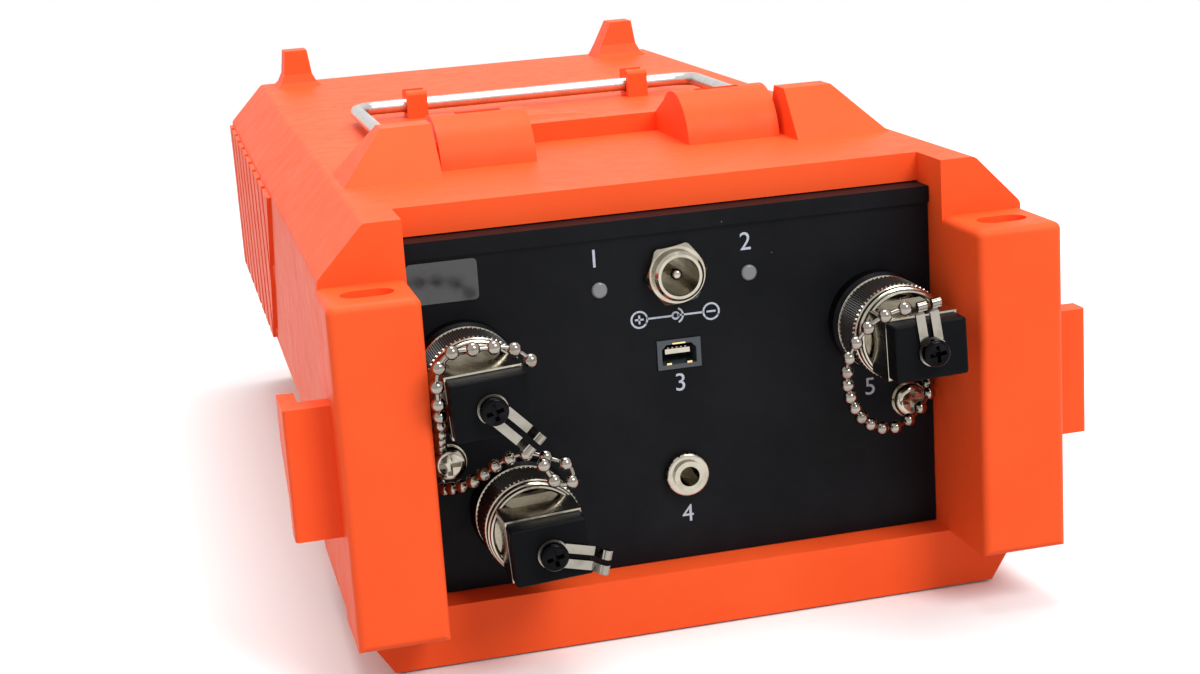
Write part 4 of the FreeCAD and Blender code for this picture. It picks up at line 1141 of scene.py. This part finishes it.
@dataclass
class Studio:
    """Pale floor, soft lamps and the camera."""

    place: Place
    camera_at: Point = (-94.127, -321.815, 142.927)
    right: Point = (0.968423, -0.240328, -0.066323)
    down: Point = (-0.121106, -0.220941, -0.967739)
    ahead: Point = (0.217921, 0.945213, -0.243070)
    lens: float = 61.7901
    sensor: float = 36.0
    shift: float = 0.00259167
    nearest: float = 0.01
    floor_radius: float = 0.6
    floor_drop: float = 0.0004
    floor_sides: int = 96
    floor_rough: float = 0.8
    floor_specular: float = 0.1
    floor_cloud: float = 400.0
    floor_dim: Pair = (0.42, 0.44)
    floor_seen: float = 0.96
    surround: float = 0.74
    aim: Point = (0.0, 0.0, 0.04)
    lamps: tuple[tuple[str, Point, float, float], ...] = (
        ("top_lamp", (0.05, 0.10, 1.10), 0.6, 7.5),
        ("key_lamp", (0.40, -0.92, 0.92), 0.5, 9.5),
    )

    def camera(self) -> None:
        """Set up the main camera."""
        data = bpy.data.cameras.new("camera")
        data.sensor_width, data.lens = self.sensor, self.lens
        data.shift_x, data.clip_start = self.shift, self.nearest
        thing = add_object("camera", data)
        turn = Matrix((self.right, [-v for v in self.down], [-v for v in self.ahead])).transposed()
        thing.matrix_world = Matrix.Translation(self.place.point(*self.camera_at)) @ turn.to_4x4()
        bpy.context.scene.camera = thing

    def floor(self) -> None:
        """Lay a round pale sheet under the rest face."""
        build = bmesh.new()
        bmesh.ops.create_circle(build, cap_ends=True, radius=self.floor_radius,
                                segments=self.floor_sides)
        mesh = bpy.data.meshes.new("floor")
        build.to_mesh(mesh)
        build.free()
        graph = Graph("floor_sheet")
        graph.set(Roughness=self.floor_rough, Specular_IOR_Level=self.floor_specular)
        darker, paler, seen = ((shade,) * 3 for shade in (*self.floor_dim, self.floor_seen))
        dim = graph.blend(graph.noise(self.floor_cloud), darker, paler)
        shown = background_ray(graph.tree)
        graph.feed(Base_Color=graph.blend(shown, darker, seen, under=dim))
        mesh.materials.append(graph.material)
        thing = add_object("floor", mesh)
        thing.location.z = -self.floor_drop

    def lamp(self, name: str, at: Point, size: float, power: float) -> None:
        """Hang one square soft lamp aimed at the middle of the object.

        Args:
            name: name of the lamp.
            at: its place, m.
            size: side of its square, m.
            power: watts.
        """
        data = bpy.data.lights.new(name, "AREA")
        data.shape, data.size, data.energy = "SQUARE", size, power
        thing = add_object(name, data)
        thing.location = at
        aim = Vector(self.aim) - Vector(at)
        thing.rotation_euler = aim.to_track_quat("-Z", "Y").to_euler()

    def world(self) -> None:
        """Light the object softly all round and show the surroundings white."""
        world = bpy.data.worlds.new("studio")
        world.use_nodes = True
        tree = world.node_tree
        back = tree.nodes["Background"]
        strength = tree.nodes.new("ShaderNodeMapRange")
        strength.inputs["To Min"].default_value = self.surround
        strength.inputs["To Max"].default_value = 1.0
        tree.links.new(background_ray(tree), strength.inputs["Value"])
        back.inputs["Color"].default_value = (1.0, 1.0, 1.0, 1.0)
        tree.links.new(strength.outputs["Result"], back.inputs["Strength"])
        bpy.context.scene.world = world

    def build(self) -> None:
        """Set up the whole studio."""
        bpy.context.scene.view_settings.view_transform = "Standard"
        self.camera()
        self.floor()
        for lamp in self.lamps:
            self.lamp(*lamp)
        self.world()


PORTS = (("right", 37.5, 51.5), ("upper_left", -39.1, 51.5), ("lower_left", -31.0, 25.3))
ROUTES: tuple[tuple[str, str, tuple[Point, ...]], ...] = (
    ("chain_right", "object", (
        (33.2, -6.1, 60.2), (28.2, -5.8, 59.4), (24.8, -4.2, 56.2), (23.2, -1.4, 51.4),
        (24.0, 2.0, 46.2), (26.4, 5.8, 40.6), (30.2, 9.4, 35.8), (36.0, 12.6, 32.9),
        (41.2, 14.9, 33.9), (44.4, 16.4, 36.4), (46.747, 18.4, 38.393),
        (46.747, 21.7, 38.393))),
    ("chain_free", "bare", (
        (-31.6, -5.0, 58.0), (-34.2, -5.3, 61.8), (-40.5, -5.4, 62.0), (-46.0, -5.2, 62.2),
        (-47.9, -4.6, 58.6), (-47.7, -3.2, 52.4), (-46.9, 1.6, 48.4), (-46.6, 6.4, 44.2),
        (-45.8, 12.6, 40.6), (-44.839, 17.9, 39.729), (-44.839, 21.2, 39.729))),
    ("chain_loop", "object", (
        (-32.1, -5.9, 42.4), (-31.0, -5.6, 39.6), (-29.4, -5.3, 37.4), (-26.7, -5.0, 37.1),
        (-26.6, -4.6, 40.1), (-29.3, -3.8, 41.3), (-33.2, -1.4, 42.6), (-37.0, 2.0, 40.6),
        (-39.6, 5.2, 37.8), (-41.8, 9.0, 35.0), (-44.0, 13.2, 33.2), (-45.413, 18.4, 31.527),
        (-45.413, 21.7, 31.527))),
)


def main() -> None:
    """Build every sub-assembly in order."""
    logging.basicConfig(level=logging.INFO, format="%(message)s")
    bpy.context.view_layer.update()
    place = Place.from_frame()
    Housing().build()
    ConnectorPanel(place).build()
    knurl = knurl_tree()
    for name, x, z in PORTS:
        Port(name, x, z, place).build(knurl)
    beads = bead_tree()
    for node, far_end, route in ROUTES:
        BeadChain(node, route, far_end, place).build(beads)
    ScreenSide(place).build()
    Studio(place).build()


if __name__ == "__main__":
    main()
